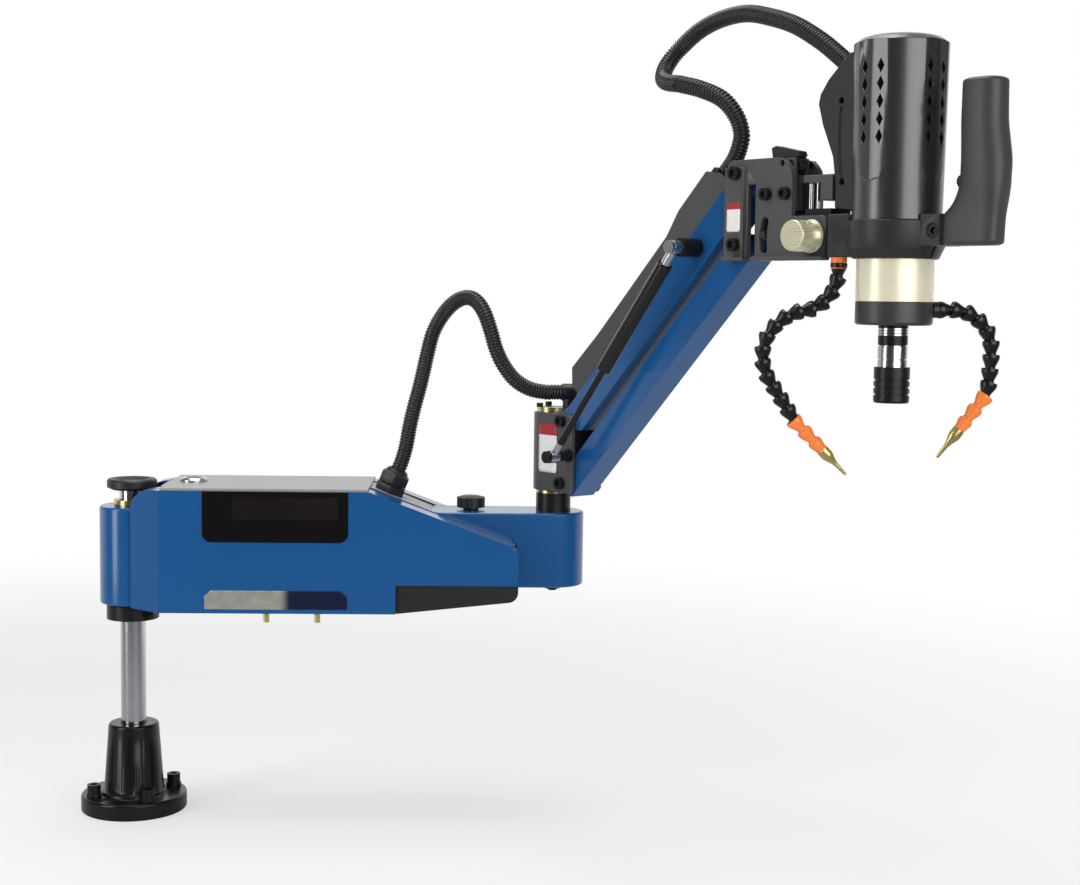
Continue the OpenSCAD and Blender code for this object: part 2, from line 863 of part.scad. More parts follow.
module elbow_shaft() {
    color("#161616") translate([elbow_x, 0, 0]) {
        translate([0, 0, elbow_z - elbow_nut_h - bevel])
            cylinder(d = elbow_stud_d, h = elbow_nut_h + 2 * bevel);
        translate([0, 0, elbow_z]) cylinder(d = shaft_low_d, h = elbow_h + bevel);
        translate([0, 0, elbow_top_z]) cylinder(d = shaft_collar_d, h = shaft_collar_h - gap);
        translate([0, 0, elbow_top_z + shaft_collar_h / 2])
            cylinder(d = journal_d, h = hub_top_z + hub_flange_top_t - elbow_top_z - shaft_collar_h / 2);
    }
}

module elbow_nut() {
    color("#161616") translate([elbow_x, 0, elbow_z - elbow_nut_h]) difference() {
        cylinder(d = elbow_nut_w / cos(30), h = elbow_nut_h, $fn = 6);
        translate([0, 0, -cut]) cylinder(d = elbow_stud_d + 2 * fit, h = elbow_nut_h + 2 * cut);
    }
}

module elbow_knob() {
    color("#161616") translate([knob_x, 0, elbow_top_z]) {
        translate([0, 0, bevel - knob_depth]) cylinder(d = knob_stem_d, h = knob_depth);
        translate([0, 0, gap]) cylinder(d = knob_d / 2, h = knob_stem_h);
        translate([0, 0, knob_stem_h]) difference() {
            union() {
                cylinder(d = knob_d - 2 * bevel, h = knob_h - bevel);
                translate([0, 0, knob_h - bevel])
                    cylinder(d1 = knob_d - 2 * bevel, d2 = knob_d / 2, h = bevel);
            }
            for (i = [0 : knob_lobes - 1]) rotate([0, 0, 360 * (i + 1 / 2) / knob_lobes])
                translate([knob_d * knob_lobe_share, 0, -cut])
                    cylinder(d = knob_d / 4, h = knob_h + 2 * cut);
        }
    }
}

function ear_side() = [[0, hub_z], [ear_reach - ear_corner, hub_z],
    [ear_reach, hub_z + ear_corner], [ear_reach, hub_top_z - ear_corner],
    [ear_reach - ear_corner, hub_top_z], [0, hub_top_z]];

module elbow_hub() {
    color("#464647") at_forearm() difference() {
        union() {
            translate([0, 0, hub_z]) cylinder(d = hub_d, h = hub_h, $fn = 64);
            slab_between(ear_side(), -ear_out, -ear_in);
            slab_between(ear_side(), ear_in, ear_out);
        }
        translate([0, 0, hub_z - cut])
            cylinder(d = journal_d + 2 * hub_bush_wall + 2 * fit, h = hub_h + 2 * cut);
        for (z = [pin_low_z, pin_high_z]) translate([pin_reach, 0, z])
            rod_y(pin_d + 2 * fit, -2 * ear_out, 2 * ear_out);
    }
}

module hub_bushes() {
    bore = journal_d + 2 * fit;
    sleeve = journal_d + 2 * hub_bush_wall;
    color("#b08d4a") translate([elbow_x, 0, 0]) {
        translate([0, 0, hub_z - hub_bush_t]) tube(hub_flange_d, bore, hub_bush_t);
        translate([0, 0, hub_z]) tube(sleeve, bore, hub_bush_len);
        translate([0, 0, hub_top_z - hub_bush_len]) tube(sleeve, bore, hub_bush_len);
        translate([0, 0, hub_top_z]) tube(hub_flange_d, bore, hub_flange_top_t);
    }
}

// A pin along Y through two ears, head to the front and nut behind
module cross_pin(front, back) {
    rod_y(pin_d, -front, back);
    difference() {
        rod_y(pin_head_d, -front - pin_head_h, -front);
        translate([0, pin_head_h / 2 - front - pin_head_h, 0])
            rotate([90, 0, 0]) cylinder(d = pin_head_d * hex_share, h = pin_head_h, $fn = 6);
    }
    translate([0, back + pin_nut_h, 0]) rotate([90, 0, 0])
        cylinder(d = pin_head_d, h = pin_nut_h, $fn = 6);
}

module hub_fasteners() {
    color("#1c1c1c") at_forearm() {
        for (z = [pin_low_z, pin_high_z]) translate([pin_reach, 0, z]) cross_pin(ear_out, ear_out);
        for (a = [-100, 160]) rotate([0, 0, a])
            translate([hub_d / 2 - top_screw_in, 0, hub_top_z + hub_flange_top_t])
                cylinder(d = top_screw_d * head_share, h = top_screw_h, $fn = 24);
    }
}

module gas_stud() {
    color("#1a1a1a") at_forearm() translate([gas_low_x, 0, gas_low_z]) {
        rod_y(gas_stud_d + 2 * bevel, -ear_out - bevel, -ear_out);
        rod_y(gas_stud_d, gas_eye_t / 2 + gap - gas_y, -ear_out);
        rod_y(gas_stud_d / 2, -gas_y - gas_eye_t / 2 - gap, -ear_out);
        rod_y(gas_head_d, -gas_y - gas_eye_t / 2 - gas_head_h - gap, -gas_y - gas_eye_t / 2 - gap);
    }
}

module conduit_socket() {
    z = hub_top_z + hub_flange_top_t;
    color("#1d1d1d") translate([elbow_x, -socket_y, 0]) difference() {
        union() {
            translate([socket_x + socket_len / 2, 0, z]) cylinder(d = socket_post_d, h = socket_z);
            translate([socket_x, 0, z + socket_z]) rotate([0, 90, 0])
                cylinder(d = socket_d, h = socket_len);
        }
        translate([socket_x + wall, 0, z + socket_z]) rotate([0, 90, 0])
            cylinder(d = conduit_bore_d, h = socket_len);
        translate([socket_x - cut, 0, z + socket_z]) rotate([0, 90, 0])
            cylinder(d = conduit_bore_d, h = socket_len);
    }
}

// Links

// Outline of a link: round about its pins at the top, cut back below
function link_side(top, bottom, low_in, high_in) = concat(
    [[low_in, -bottom]], arc(0, 0, link_end_r, 180, 90, 5), [[link_end_r, top]],
    [[link_len - link_end_r, top]], arc(link_len, 0, link_end_r, 90, 0, 5),
    [[link_len + high_in, -bottom]]);

module link_body(side, top, bottom) {
    difference() {
        slab(side, link_w);
        difference() {
            translate([-link_len, link_wall - link_w / 2, link_wall - bottom])
                cube([3 * link_len, link_w - 2 * link_wall, top + bottom - 2 * link_wall]);
            for (x = [0, link_len]) translate([x, 0, 0]) rod_y(link_boss_d, -link_w, link_w);
        }
        for (x = [0, link_len]) translate([x, 0, 0]) rod_y(pin_d + 2 * fit, -link_w, link_w);
    }
}

module lower_link() {
    color("#22568a") at_lower_link() link_body(
        link_side(link_end_r, lower_link_bottom, -link_wall, link_wall), link_end_r,
        lower_link_bottom);
}

module upper_link() {
    color("#22568a") at_upper_link() link_body(
        link_side(upper_link_top, upper_link_bottom, link_end_r, -bevel), upper_link_top,
        upper_link_bottom);
}

module cable_cover() {
    z0 = upper_link_top;
    low = z0 + cover_low_h;
    mid = z0 + cover_mid_h;
    high = z0 + cover_high_h;
    color("#3b3b3c") at_upper_link() difference() {
        slab([[cover_start, z0], [cover_start, z0 + cover_low_h / 2],
            [cover_start + cover_nose, low], [cover_start + cover_fall, mid],
            [cover_end - cover_rise, mid], [cover_end - cover_box, high],
            [cover_end - cover_nose, high], [cover_end, z0 + cover_low_h / 2],
            [cover_end, z0]], cover_w);
        slab([[cover_start - cut, z0 - cut], [cover_start - cut, z0 + cover_low_h / 2],
            [cover_start + cover_nose, low - wall], [cover_start + cover_fall, mid - wall],
            [cover_end - cover_rise, mid - wall], [cover_end - cover_box, high - wall],
            [cover_end + cut, high - wall], [cover_end + cut, z0 - cut]],
            cover_w - 2 * wall);
    }
}

// Block in the cover's far end that the upper conduit leaves from
module cover_gland() {
    color("#181818") at_upper_link() difference() {
        translate([cover_gland_x - cover_gland_t, -cover_w / 2 + wall + fit, upper_link_top])
            cube([cover_gland_t, cover_w - 2 * wall - 2 * fit, cover_gland_h]);
        translate([cover_gland_x - 2 * cover_gland_t, 0, upper_link_top + cover_gland_z])
            rotate([0, 90, 0]) cylinder(d = conduit_bore_d, h = 3 * cover_gland_t);
    }
}

// Gas spring

module gas_boss() {
    color("#161616") at_forearm() translate([gas_high_x, 0, gas_high_z])
        rod_y(gas_boss_d, -gas_y + gas_eye_t / 2 + gap, -link_w / 2);
}

module gas_rod() {
    color("#a9abad") at_gas() difference() {
        union() {
            rod_y(gas_eye_d, -gas_eye_t / 2, gas_eye_t / 2);
            rotate([0, 90, 0]) cylinder(d = gas_tube_cap_d - bevel, h = gas_rod_end);
            rotate([0, 90, 0]) cylinder(d = gas_rod_d, h = gas_tube_start + gas_tube_len / 3);
        }
        rod_y(gas_stud_d / 2 + 2 * fit, -gas_eye_t, gas_eye_t);
        translate([0, gas_eye_t, 0]) rod_y(gas_eye_d * 2, 0, gas_eye_t);
    }
}

module gas_tube() {
    color("#232324") at_gas() {
        translate([gas_tube_start, 0, 0]) rotate([0, 90, 0]) difference() {
            union() {
                cylinder(d = gas_tube_d, h = gas_tube_len);
                translate([0, 0, gas_tube_len - cut])
                    cylinder(d = gas_tube_cap_d, h = gas_tube_cap_h + cut);
            }
            translate([0, 0, -cut])
                cylinder(d = gas_rod_d + 2 * fit, h = gas_tube_len - wall);
        }
        translate([gas_len, 0, 0]) {
            rod_y(gas_eye_d, -gas_eye_t / 2, gas_eye_t / 2);
            rod_y(gas_head_d, -gas_eye_t / 2 - gas_head_h, -gas_eye_t / 2);
        }
    }
}

// End bracket

function cheek_side() = concat(
    [[cheek_left, cheek_bottom], [nose_right, cheek_bottom]],
    arc(nose_right - nose_round, nose_top - nose_round, nose_round, 0, 90, 4),
    [[cheek_right, nose_top]],
    arc(cheek_right - cheek_round, cheek_top - cheek_round, cheek_round, 0, 90, 6),
    arc(cheek_left + nose_round, cheek_top - nose_round, nose_round, 90, 180, 4));

// The curved slot as a ring sector with round ends
module tilt_slot(w, y0, y1) {
    from = tilt_mid_angle - tilt_half_angle;
    to = tilt_mid_angle + tilt_half_angle;
    translate([tilt_x, 0, tilt_z]) {
        slab_between(concat(
            arc(0, 0, tilt_slot_r + w / 2, from, to, 8),
            arc(0, 0, tilt_slot_r - w / 2, to, from, 8)), y0, y1);
        for (a = [from, to])
            translate([tilt_slot_r * cos(a), 0, tilt_slot_r * sin(a)]) rod_y(w, y0, y1);
    }
}

module end_bracket() {
    color("#3f3f40") at_end() difference() {
        union() {
            slab_between(cheek_side(), -cheek_out, -cheek_in);
            slab_between(cheek_side(), cheek_in, cheek_out);
            translate([web_left, -cheek_out, web_bottom])
                cube([web_right - web_left, 2 * cheek_out, cheek_top - bevel - web_bottom]);
            translate([cheek_left, -cheek_out - strip_t, cheek_bottom])
                cube([strip_w, strip_t + bevel, cheek_top - cheek_bottom - nose_round]);
            translate([cheek_left, -cheek_out - flange_lip_w, cheek_bottom - flange_lip_t])
                cube([nose_right - cheek_left, flange_lip_w + cheek_t, flange_lip_t]);
            for (y = [-lever_w / 2 - lever_lug_t - gap, lever_w / 2 + gap])
                translate([web_right - lever_hub_d / 2 - lever_pin_d, y, web_bottom])
                    cube([lever_hub_d, lever_lug_t, lever_z - web_bottom + lever_pin_d]);
        }
        translate([slot_left, -2 * cheek_out, cheek_bottom - flange_lip_t - cut])
            cube([slot_w, 2 * cheek_out - cheek_in + cut, slot_top - cheek_bottom + flange_lip_t + cut]);
        tilt_slot(tilt_slot_w, -2 * cheek_out, -cheek_in + cut);
        for (z = [0, pin_gap]) translate([0, 0, z])
            rod_y(pin_d + 2 * fit, -2 * cheek_out, 2 * cheek_out);
        translate([tilt_x, 0, tilt_z]) rod_y(knob_pin_d + 2 * fit, -2 * cheek_out, 2 * cheek_out);
        for (p = side_bolt_places) translate([p[0], 0, p[1]])
            rod_y(side_bolt_d + 2 * fit, -2 * cheek_out, cheek_bottom);
        lever_room();
        translate([lever_x, 0, lever_z]) rod_y(lever_pin_d + 2 * fit, -cheek_out, cheek_out);
    }
}

module lever_room() {
    translate([web_left - cut, -lever_w / 2 - gap, lever_z - lever_hub_d / 2 - gap])
        cube([web_right - web_left + 2 * cut, lever_w + 2 * gap, cheek_top]);
}

module bracket_bolts() {
    color("#1a1a1a") at_end() {
        for (z = [0, pin_gap]) translate([0, 0, z]) cross_pin(cheek_out + strip_t, cheek_out);
        for (p = side_bolt_places) translate([p[0], 0, p[1]]) translate([0, -cheek_out, 0])
            rotate([90, 0, 0]) cap_screw(side_bolt_d, cheek_t + bevel, pin_head_h);
    }
}

// Head

module head_carrier() {
    color("#3a3a3b") at_end() difference() {
        union() {
            translate([head_reach, 0, band_bottom])
                cylinder(d = band_d, h = band_top - band_bottom, $fn = 72);
            translate([head_reach, 0, seat_bottom])
                cylinder(d1 = seat_low_d, d2 = band_d, h = band_bottom - seat_bottom, $fn = 72);
            translate([arm_block_left, -arm_block_w / 2, arm_block_bottom])
                cube([head_reach - arm_block_left, arm_block_w, arm_block_top - arm_block_bottom]);
            slab([[tilt_x, tilt_z - tongue_hub_r], [arm_block_left + bevel, arm_block_bottom],
                [arm_block_left + bevel, arm_block_top], [latch_left, arm_block_top],
                [latch_left, tilt_z]], 2 * cheek_in - 2 * gap);
            translate([tilt_x, 0, tilt_z])
                rod_y(2 * tongue_hub_r, gap - cheek_in, cheek_in - gap);
            tongue();
            translate([head_reach, -lug_half, band_bottom])
                cube([clamp_x + clamp_screw_d, 2 * lug_half, lug_top - band_bottom]);
        }
        translate([head_reach, 0, seat_bottom - cut])
            cylinder(d = sleeve_lower_d + 2 * fit, h = band_top - seat_bottom + 2 * cut, $fn = 72);
        translate([head_reach, 0, band_top]) cylinder(d = motor_d + 2 * fit, h = motor_h, $fn = 72);
        translate([head_reach, -collar_slot_w / 2, seat_bottom - cut])
            cube([head_reach, collar_slot_w, motor_h]);
        translate([tilt_x, 0, tilt_z]) rod_y(knob_pin_d + 2 * fit, -2 * cheek_out, 2 * cheek_out);
        translate([head_reach + clamp_x, 0, clamp_z])
            rod_y(clamp_screw_d + 2 * fit, -lug_half - cut, lug_half + cut);
        translate([head_reach + clamp_x, 0, clamp_z])
            rod_y(clamp_screw_d * head_share + 2 * fit, -2 * lug_half, clamp_screw_d - lug_half);
        translate([head_reach, 0, 0]) rotate([0, 0, forearm_yaw])
            translate([left_root[0], left_root[1], arm_block_bottom - cut])
                cylinder(d = stem_d + 2 * fit, h = stem_len + 2 * cut);
    }
}

// Arm of the carrier that holds the pin in the curved slot
module tongue() {
    pin_x = tilt_x + tilt_slot_r * cos(tilt_mid_angle);
    pin_z = tilt_z + tilt_slot_r * sin(tilt_mid_angle);
    slab([[tilt_x, tilt_z - tongue_end_r], [pin_x, pin_z - tongue_end_r],
        [pin_x, pin_z + tongue_end_r], [tilt_x, tilt_z + tongue_end_r]], 2 * cheek_in - 2 * gap);
    translate([pin_x, 0, pin_z]) {
        rod_y(2 * tongue_end_r, gap - cheek_in, cheek_in - gap);
        rod_y(tilt_pin_d, -cheek_out - bevel, 0);
    }
}

module tilt_knob() {
    front = cheek_out + gap;
    color("#c9c2a8") at_end() translate([tilt_x, 0, tilt_z]) difference() {
        union() {
            rod_y(knob_pin_d, -front - bevel, cheek_out + bevel);
            rod_y(tilt_washer_d, -front - tilt_washer_t, -front);
            rod_y(tilt_knob_d, -front - tilt_washer_t - tilt_knob_len, -front - tilt_washer_t);
        }
        translate([0, -front - tilt_washer_t - tilt_knob_len * tilt_hole_share, 0]) rotate([0, 30, 0])
            cylinder(d = tilt_hole_d, h = tilt_knob_d);
    }
}

module latch_guide() {
    color("#2a2a2b") at_end() translate([latch_left, -latch_w / 2, arm_block_top]) difference() {
        cube([latch_right - latch_left, latch_w, latch_guide_h]);
        for (x = latch_pin_xs) translate([x - latch_left, latch_w / 4, -cut])
            cylinder(d = latch_pin_d + 2 * fit, h = latch_guide_h + 2 * cut);
    }
}

module latch_pins() {
    color("#d5d7da") at_end() for (x = latch_pin_xs) translate([x, -latch_w / 4, arm_block_top])
        cylinder(d = latch_pin_d, h = latch_guide_h + latch_pin_len, $fn = 24);
}

module latch_block() {
    z0 = arm_block_top + latch_guide_h + latch_block_lift;
    x0 = latch_pin_xs[0] - latch_pin_d;
    color("#343435") at_end() difference() {
        union() {
            translate([x0, -latch_w / 2, z0 + latch_block_h - latch_step_h])
                cube([latch_block_right - x0, latch_w - bevel, latch_step_h]);
            translate([latch_block_right - 2 * latch_step_h, -latch_w / 2, z0])
                cube([2 * latch_step_h, latch_w - bevel, latch_block_h]);
        }
        for (x = latch_pin_xs) translate([x, -latch_w / 4, z0 - cut])
            cylinder(d = latch_pin_d + 2 * fit, h = latch_block_h + 2 * cut);
    }
}

module lock_lever() {
    color("#262627") at_end() difference() {
        union() {
            translate([lever_x, 0, lever_z]) rod_y(lever_hub_d - bevel, -lever_w / 2, lever_w / 2);
            slab([[lever_x, lever_z - lever_pin_d / 2], [lever_x, lever_z + lever_hub_d / 3],
                [lever_tab_right, cheek_top + bevel], [lever_tab_right - bevel, cheek_top + lever_tab_h / 2],
                [lever_tab_left + lever_pin_d, cheek_top + lever_tab_h],
                [lever_tab_left, cheek_top + lever_tab_h - bevel],
                [lever_tab_left + bevel, cheek_top + bevel / 2], [lever_x - lever_hub_d / 3, cheek_top]],
                lever_w);
        }
        translate([lever_x, 0, lever_z]) rod_y(lever_pin_d + 2 * fit, -lever_w, lever_w);
    }
    color("#262627") at_end() translate([lever_x, 0, lever_z])
        rod_y(lever_pin_d, -lever_w / 2 - lever_lug_t, lever_w / 2 + lever_lug_t);
}

// Cutter for one vent recess on the +X side: two planes that meet in a ridge
module vent_recess() {
    r = motor_d / 2;
    c = r * cos(vent_half_angle);
    s = r * sin(vent_half_angle);
    arch_r = s - vent_rim;
    intersection() {
        linear_extrude(2 * motor_h)
            polygon([[c, -s], [c + vent_ridge, 0], [c, s], [2 * c, s + r / 4], [2 * c, -s - r / 4]]);
        rotate([90, 0, 90]) linear_extrude(motor_d) union() {
            translate([0, vent_bottom + arch_r]) circle(r = arch_r);
            translate([-arch_r, vent_bottom + arch_r]) square([2 * arch_r, motor_h]);
        }
    }
}

module vent_holes() {
    tilt = atan2(vent_ridge, motor_d / 2 * sin(vent_half_angle));
    for (side = [-1, 1]) for (i = [0 : vent_rows - 1])
        translate([motor_d / 4, side * vent_x, vent_first + vent_pitch * i])
            rotate([90, 0, 90]) linear_extrude(motor_d / 2) polygon([
                [-vent_hole_w / 2, 0], [0, -vent_hole_h / 2], [vent_hole_w / 2, 0],
                [0, vent_hole_h / 2]]);
}

module motor_shell() {
    r = motor_d / 2;
    inner = r - shell_wall - r * (1 - cos(vent_half_angle));
    color("#161618") at_head() difference() {
        rotate_extrude($fn = 72) polygon([
            [0, shell_top + shell_dome], [shell_crown_d / 2, shell_top + shell_dome],
            [r - 2 * shell_bevel, shell_top],
            [r - shell_bevel, shell_top - bevel], [r, shell_top - shell_bevel],
            [r - bevel, band_top], [inner, band_top],
            [inner, shell_top - shell_bevel], [0, shell_top - shell_bevel]]);
        for (a = [0 : 3]) rotate([0, 0, 90 * a]) {
            vent_recess();
            vent_holes();
        }
    }
}

// Side outline of the shroud: shares of the shell's radius outwards and of its height upwards
shroud_shares = [[0.8, 0.95], [1.14, 0.938], [1.71, 0.801], [1.93, 0.722], [1.98, 0.665],
    [1.85, 0.551], [1.54, 0.369], [1.45, 0.222], [1.45, 0.074], [0.8, 0.051]];

function shroud_side() =
    [for (p = shroud_shares) [-p[0] * motor_d / 2, band_top + p[1] * motor_h]];

module at_shroud_inlet() {
    translate([shroud_inlet[0], 0, shroud_inlet[1]]) rotate([0, shroud_inlet_turn, 0]) children();
}

module rear_shroud() {
    color("#333334") at_head() difference() {
        union() {
            slab(shroud_side(), shroud_w);
            at_shroud_inlet() cylinder(d = shroud_inlet_d, h = shroud_inlet_len);
        }
        translate([0, 0, band_top - cut]) cylinder(d = motor_d + 2 * fit, h = 2 * motor_h, $fn = 72);
        at_shroud_inlet() translate([0, 0, -cut])
            cylinder(d = conduit_bore_d, h = shroud_inlet_len - wall);
        for (p = shroud_hole_shares) translate([-p[0] * motor_d / 2, 0, band_top + p[1] * motor_h])
            rod_y(shroud_hole_d, -shroud_w, -shroud_w / 4);
    }
}

module servo_motor() {
    color("#55585c") at_head() {
        translate([0, 0, band_top]) cylinder(d = sleeve_lower_d - bevel, h = servo_flange_h);
        translate([0, 0, band_top]) cylinder(d = servo_d, h = servo_h);
    }
}

module gearbox_sleeve() {
    color("#cfc9a0") at_head() difference() {
        translate([0, 0, bright_bottom]) cylinder(d = sleeve_lower_d, h = band_top - bright_bottom, $fn = 72);
        translate([0, 0, bright_bottom - cut])
            cylinder(d = bearing_d + 2 * fit, h = band_top - bright_bottom - wall, $fn = 64);
        translate([0, 0, bright_bottom]) cylinder(d = spindle_d, h = 2 * motor_h);
    }
}

module end_ring() {
    color("#4b4b4d") at_head() difference() {
        union() {
            translate([0, 0, end_ring_bottom])
                cylinder(d1 = sleeve_lower_d - 2 * bevel, d2 = sleeve_lower_d, h = bevel, $fn = 72);
            translate([0, 0, end_ring_bottom + bevel])
                cylinder(d = sleeve_lower_d, h = end_ring_h - bevel, $fn = 72);
        }
        translate([0, 0, end_ring_bottom - cut])
            cylinder(d = spindle_d + 2 * bevel, h = end_ring_h + 2 * cut);
        translate([0, 0, end_ring_bottom + end_ring_h / 2])
            cylinder(d = bearing_d + 2 * fit, h = end_ring_h, $fn = 64);
        rotate([0, 0, forearm_yaw]) translate(right_place) rotate([0, -90, 0])
            cylinder(d = stem_d + 2 * fit, h = fitting_h + stem_len + bevel);
    }
}

module spindle_bearings() {
    color("#9fa3a8") at_head() for (z = [bright_bottom - end_ring_h / 2, band_bottom - bearing_h])
        translate([0, 0, z]) difference() {
            tube(bearing_d, bearing_bore_d + 2 * fit, bearing_h);
            translate([0, 0, bearing_h - bevel])
                tube(bearing_d - 4 * bevel, bearing_bore_d + 4 * bevel, bearing_h);
        }
}

module spindle() {
    step = spindle_bottom - chuck_step_h;
    color("#c8cacd") at_head() difference() {
        union() {
            translate([0, 0, step])
                cylinder(d = spindle_d, h = end_ring_bottom + end_ring_h / 2 - step - gap);
            translate([0, 0, step]) cylinder(d = bearing_bore_d, h = shaft_top - step - cut);
            translate([0, 0, chuck_bottom + bevel]) cylinder(d = nose_d, h = chuck_h + spindle_h);
        }
        translate([0, 0, chuck_bottom]) cylinder(r = socket_r, h = chuck_h - bevel);
        for (z = [spindle_bottom + groove_pitch, spindle_bottom + spindle_h / 2])
            translate([0, 0, z]) tube(2 * spindle_d, spindle_d - 2 * groove_d, groove_d);
    }
}

module chuck_sleeve() {
    play = spindle_d + 2 * fit;
    step_z = spindle_bottom - chuck_step_h - chuck_travel - bevel;
    color("#1b1b1d") at_head() difference() {
        translate([0, 0, chuck_bottom]) union() {
            cylinder(d1 = chuck_d - bevel, d2 = chuck_d, h = bevel);
            translate([0, 0, bevel]) cylinder(d = chuck_d, h = chuck_h - bevel);
        }
        translate([0, 0, chuck_bottom - cut]) cylinder(d = nose_d + 2 * fit, h = chuck_h + 2 * cut);
        translate([0, 0, step_z]) cylinder(d = play, h = chuck_h);
        for (i = [1 : 3]) translate([0, 0, chuck_bottom + groove_pitch * i])
            tube(2 * chuck_d, chuck_d - 2 * groove_d, 2 * groove_d);
    }
}

// Side outline of the grip: shares of half its width sideways and of its height upwards
grip_shares = [[-1, -0.013], [1, -0.027], [1.05, 0.2], [1.14, 0.53], [1.09, 0.64], [0.95, 0.75],
    [0.91, 0.96], [0.64, 1], [-0.73, 0.993], [-1, 0.967], [-0.95, 0.47], [-1.05, 0.44],
    [-1.27, 0.173]];

function grip_side() = [for (p = grip_shares) [grip_reach + p[0] * grip_w / 2, p[1] * grip_top]];

module grip() {
    web_x = clamp_x + clamp_screw_d;
    color("#3c3c3e") at_head() difference() {
        union() {
            intersection() {
                slab(grip_side(), 2 * grip_t);
                translate([0, 0, -grip_top]) linear_extrude(3 * grip_top)
                    polygon(ellipse(grip_reach, 0, grip_w / 2 + bevel, grip_t / 2));
            }
            translate([web_x, -grip_web_w / 2, band_bottom])
                cube([grip_reach - web_x - grip_w / 4, grip_web_w, lug_top - band_bottom]);
        }
        translate([grip_reach - grip_w / 2 - trigger_proud, 0, trigger_z]) rotate([0, 90, 0])
            cylinder(d = trigger_d + 2 * fit, h = trigger_depth + trigger_proud, $fn = 32);
    }
}

module trigger_button() {
    x0 = grip_reach - grip_w / 2 - trigger_proud;
    color("#1a1a1b") at_head() translate([x0, 0, trigger_z]) rotate([0, 90, 0]) union() {
        cylinder(d1 = trigger_d - bevel, d2 = trigger_d, h = bevel / 2, $fn = 32);
        translate([0, 0, bevel / 2]) cylinder(d = trigger_d, h = trigger_depth - trigger_proud, $fn = 32);
    }
}

module clamp_screw() {
    color("#1a1a1a") at_head() translate([clamp_x, clamp_screw_d - lug_half, clamp_z])
        rotate([90, 0, 0])
            cap_screw(clamp_screw_d, 2 * lug_half - 2 * clamp_screw_d, clamp_screw_d - bevel);
}

// Coolant hoses

// Places along a chain: each segment turned from straight down by its angle
function chain(angles, n) = n == 0 ? [0, 0]
    : chain(angles, n - 1) + hose_pitch * [-sin(angles[n - 1]), -cos(angles[n - 1])];

// One segment, pointing down: a ball above and a socket round the next ball
module hose_segment() {
    r_in = hose_ball_r + hose_play;
    r_out = r_in + hose_shell_t;
    difference() {
        union() {
            sphere(r = hose_ball_r, $fn = 32);
            translate([0, 0, -hose_pitch / 2]) cylinder(r = hose_neck_r, h = hose_pitch / 2, $fn = 32);
            translate([0, 0, -hose_pitch])
                cylinder(r1 = r_out, r2 = hose_neck_r, h = hose_pitch - hose_ball_r, $fn = 32);
            translate([0, 0, -hose_pitch]) sphere(r = r_out, $fn = 32);
        }
        translate([0, 0, -hose_pitch]) sphere(r = r_in, $fn = 32);
        translate([0, 0, -2 * hose_pitch - hose_mouth]) cylinder(r = r_out, h = hose_pitch, $fn = 32);
        translate([0, 0, -hose_pitch]) cylinder(r = hose_bore_r, h = 3 * hose_pitch, $fn = 32);
    }
}

module at_hose(root) {
    at_head() rotate([0, 0, forearm_yaw]) translate(root) children();
}

module hose_chain(angles) {
    for (i = [0 : len(angles) - 1]) let (p = chain(angles, i))
        translate([p[0], 0, p[1]]) rotate([0, angles[i], 0]) hose_segment();
}

left_place = [left_root[0], left_root[1], arm_block_bottom - fitting_h];
right_place = [sleeve_lower_d / 2 + fitting_h, 0, bright_bottom - end_ring_h / 3];

// Socket that the first ball sits in, opening downwards, with its stem above
module socket_fitting(play) {
    difference() {
        union() {
            translate([0, 0, -hose_mouth]) cylinder(d = fitting_d, h = fitting_h + hose_mouth - gap);
            cylinder(d = stem_d + 2 * play, h = fitting_h + stem_len + play);
        }
        if (play == 0) sphere(r = hose_ball_r + hose_play, $fn = 32);
        if (play == 0) translate([0, 0, -fitting_h]) cylinder(r = hose_bore_r, h = 3 * fitting_h);
    }
}

module hose_left_root() {
    color("#ff7f3a") at_hose(left_place) socket_fitting(0);
}

module hose_left() {
    color("#121212") at_hose(left_place) hose_chain(left_angles);
}

module hose_right_root() {
    color("#151515") at_hose(right_place) rotate([0, -90, 0]) socket_fitting(0);
}

module hose_right() {
    color("#121212") at_hose(right_place) hose_chain(right_angles);
}

// The end of a chain, turned as its nozzle is
module at_chain_end(angles, turn) {
    p = chain(angles, len(angles));
    translate([p[0], 0, p[1]]) rotate([0, turn, 0]) children();
}

// Nozzle with its brass tip, pointing down from its ball
module nozzle() {
    r = nozzle_d / 2;
    rotate([180, 0, 0]) difference() {
        union() {
            sphere(r = hose_ball_r, $fn = 32);
            cylinder(r = hose_neck_r, h = nozzle_len / 2, $fn = 32);
            rotate_extrude($fn = 32) polygon([
                [0, hose_ball_r + 2 * bevel], [r - bevel, hose_ball_r + 2 * bevel],
                [r, hose_ball_r + 3 * bevel], [r, nozzle_len - 5 * bevel],
                [r - bevel, nozzle_len - 4 * bevel], [r - bevel, nozzle_len - bevel],
                [r - 2 * bevel, nozzle_len], [0, nozzle_len]]);
        }
        translate([0, 0, -nozzle_len]) cylinder(r = hose_bore_r, h = 3 * nozzle_len);
    }
}

module brass_tip() {
    rotate([180, 0, 0]) translate([0, 0, nozzle_len]) difference() {
        union() {
            cylinder(d = tip_d * tip_hex_share, h = tip_len / 4, $fn = 6);
            translate([0, 0, tip_len / 4]) cylinder(d = tip_d, h = tip_len / 4, $fn = 32);
            translate([0, 0, tip_len / 2]) cylinder(d1 = tip_d, d2 = tip_end_d, h = tip_len / 2, $fn = 32);
        }
        translate([0, 0, -cut]) cylinder(d = tip_bore_d, h = tip_len + 2 * cut, $fn = 32);
    }
}

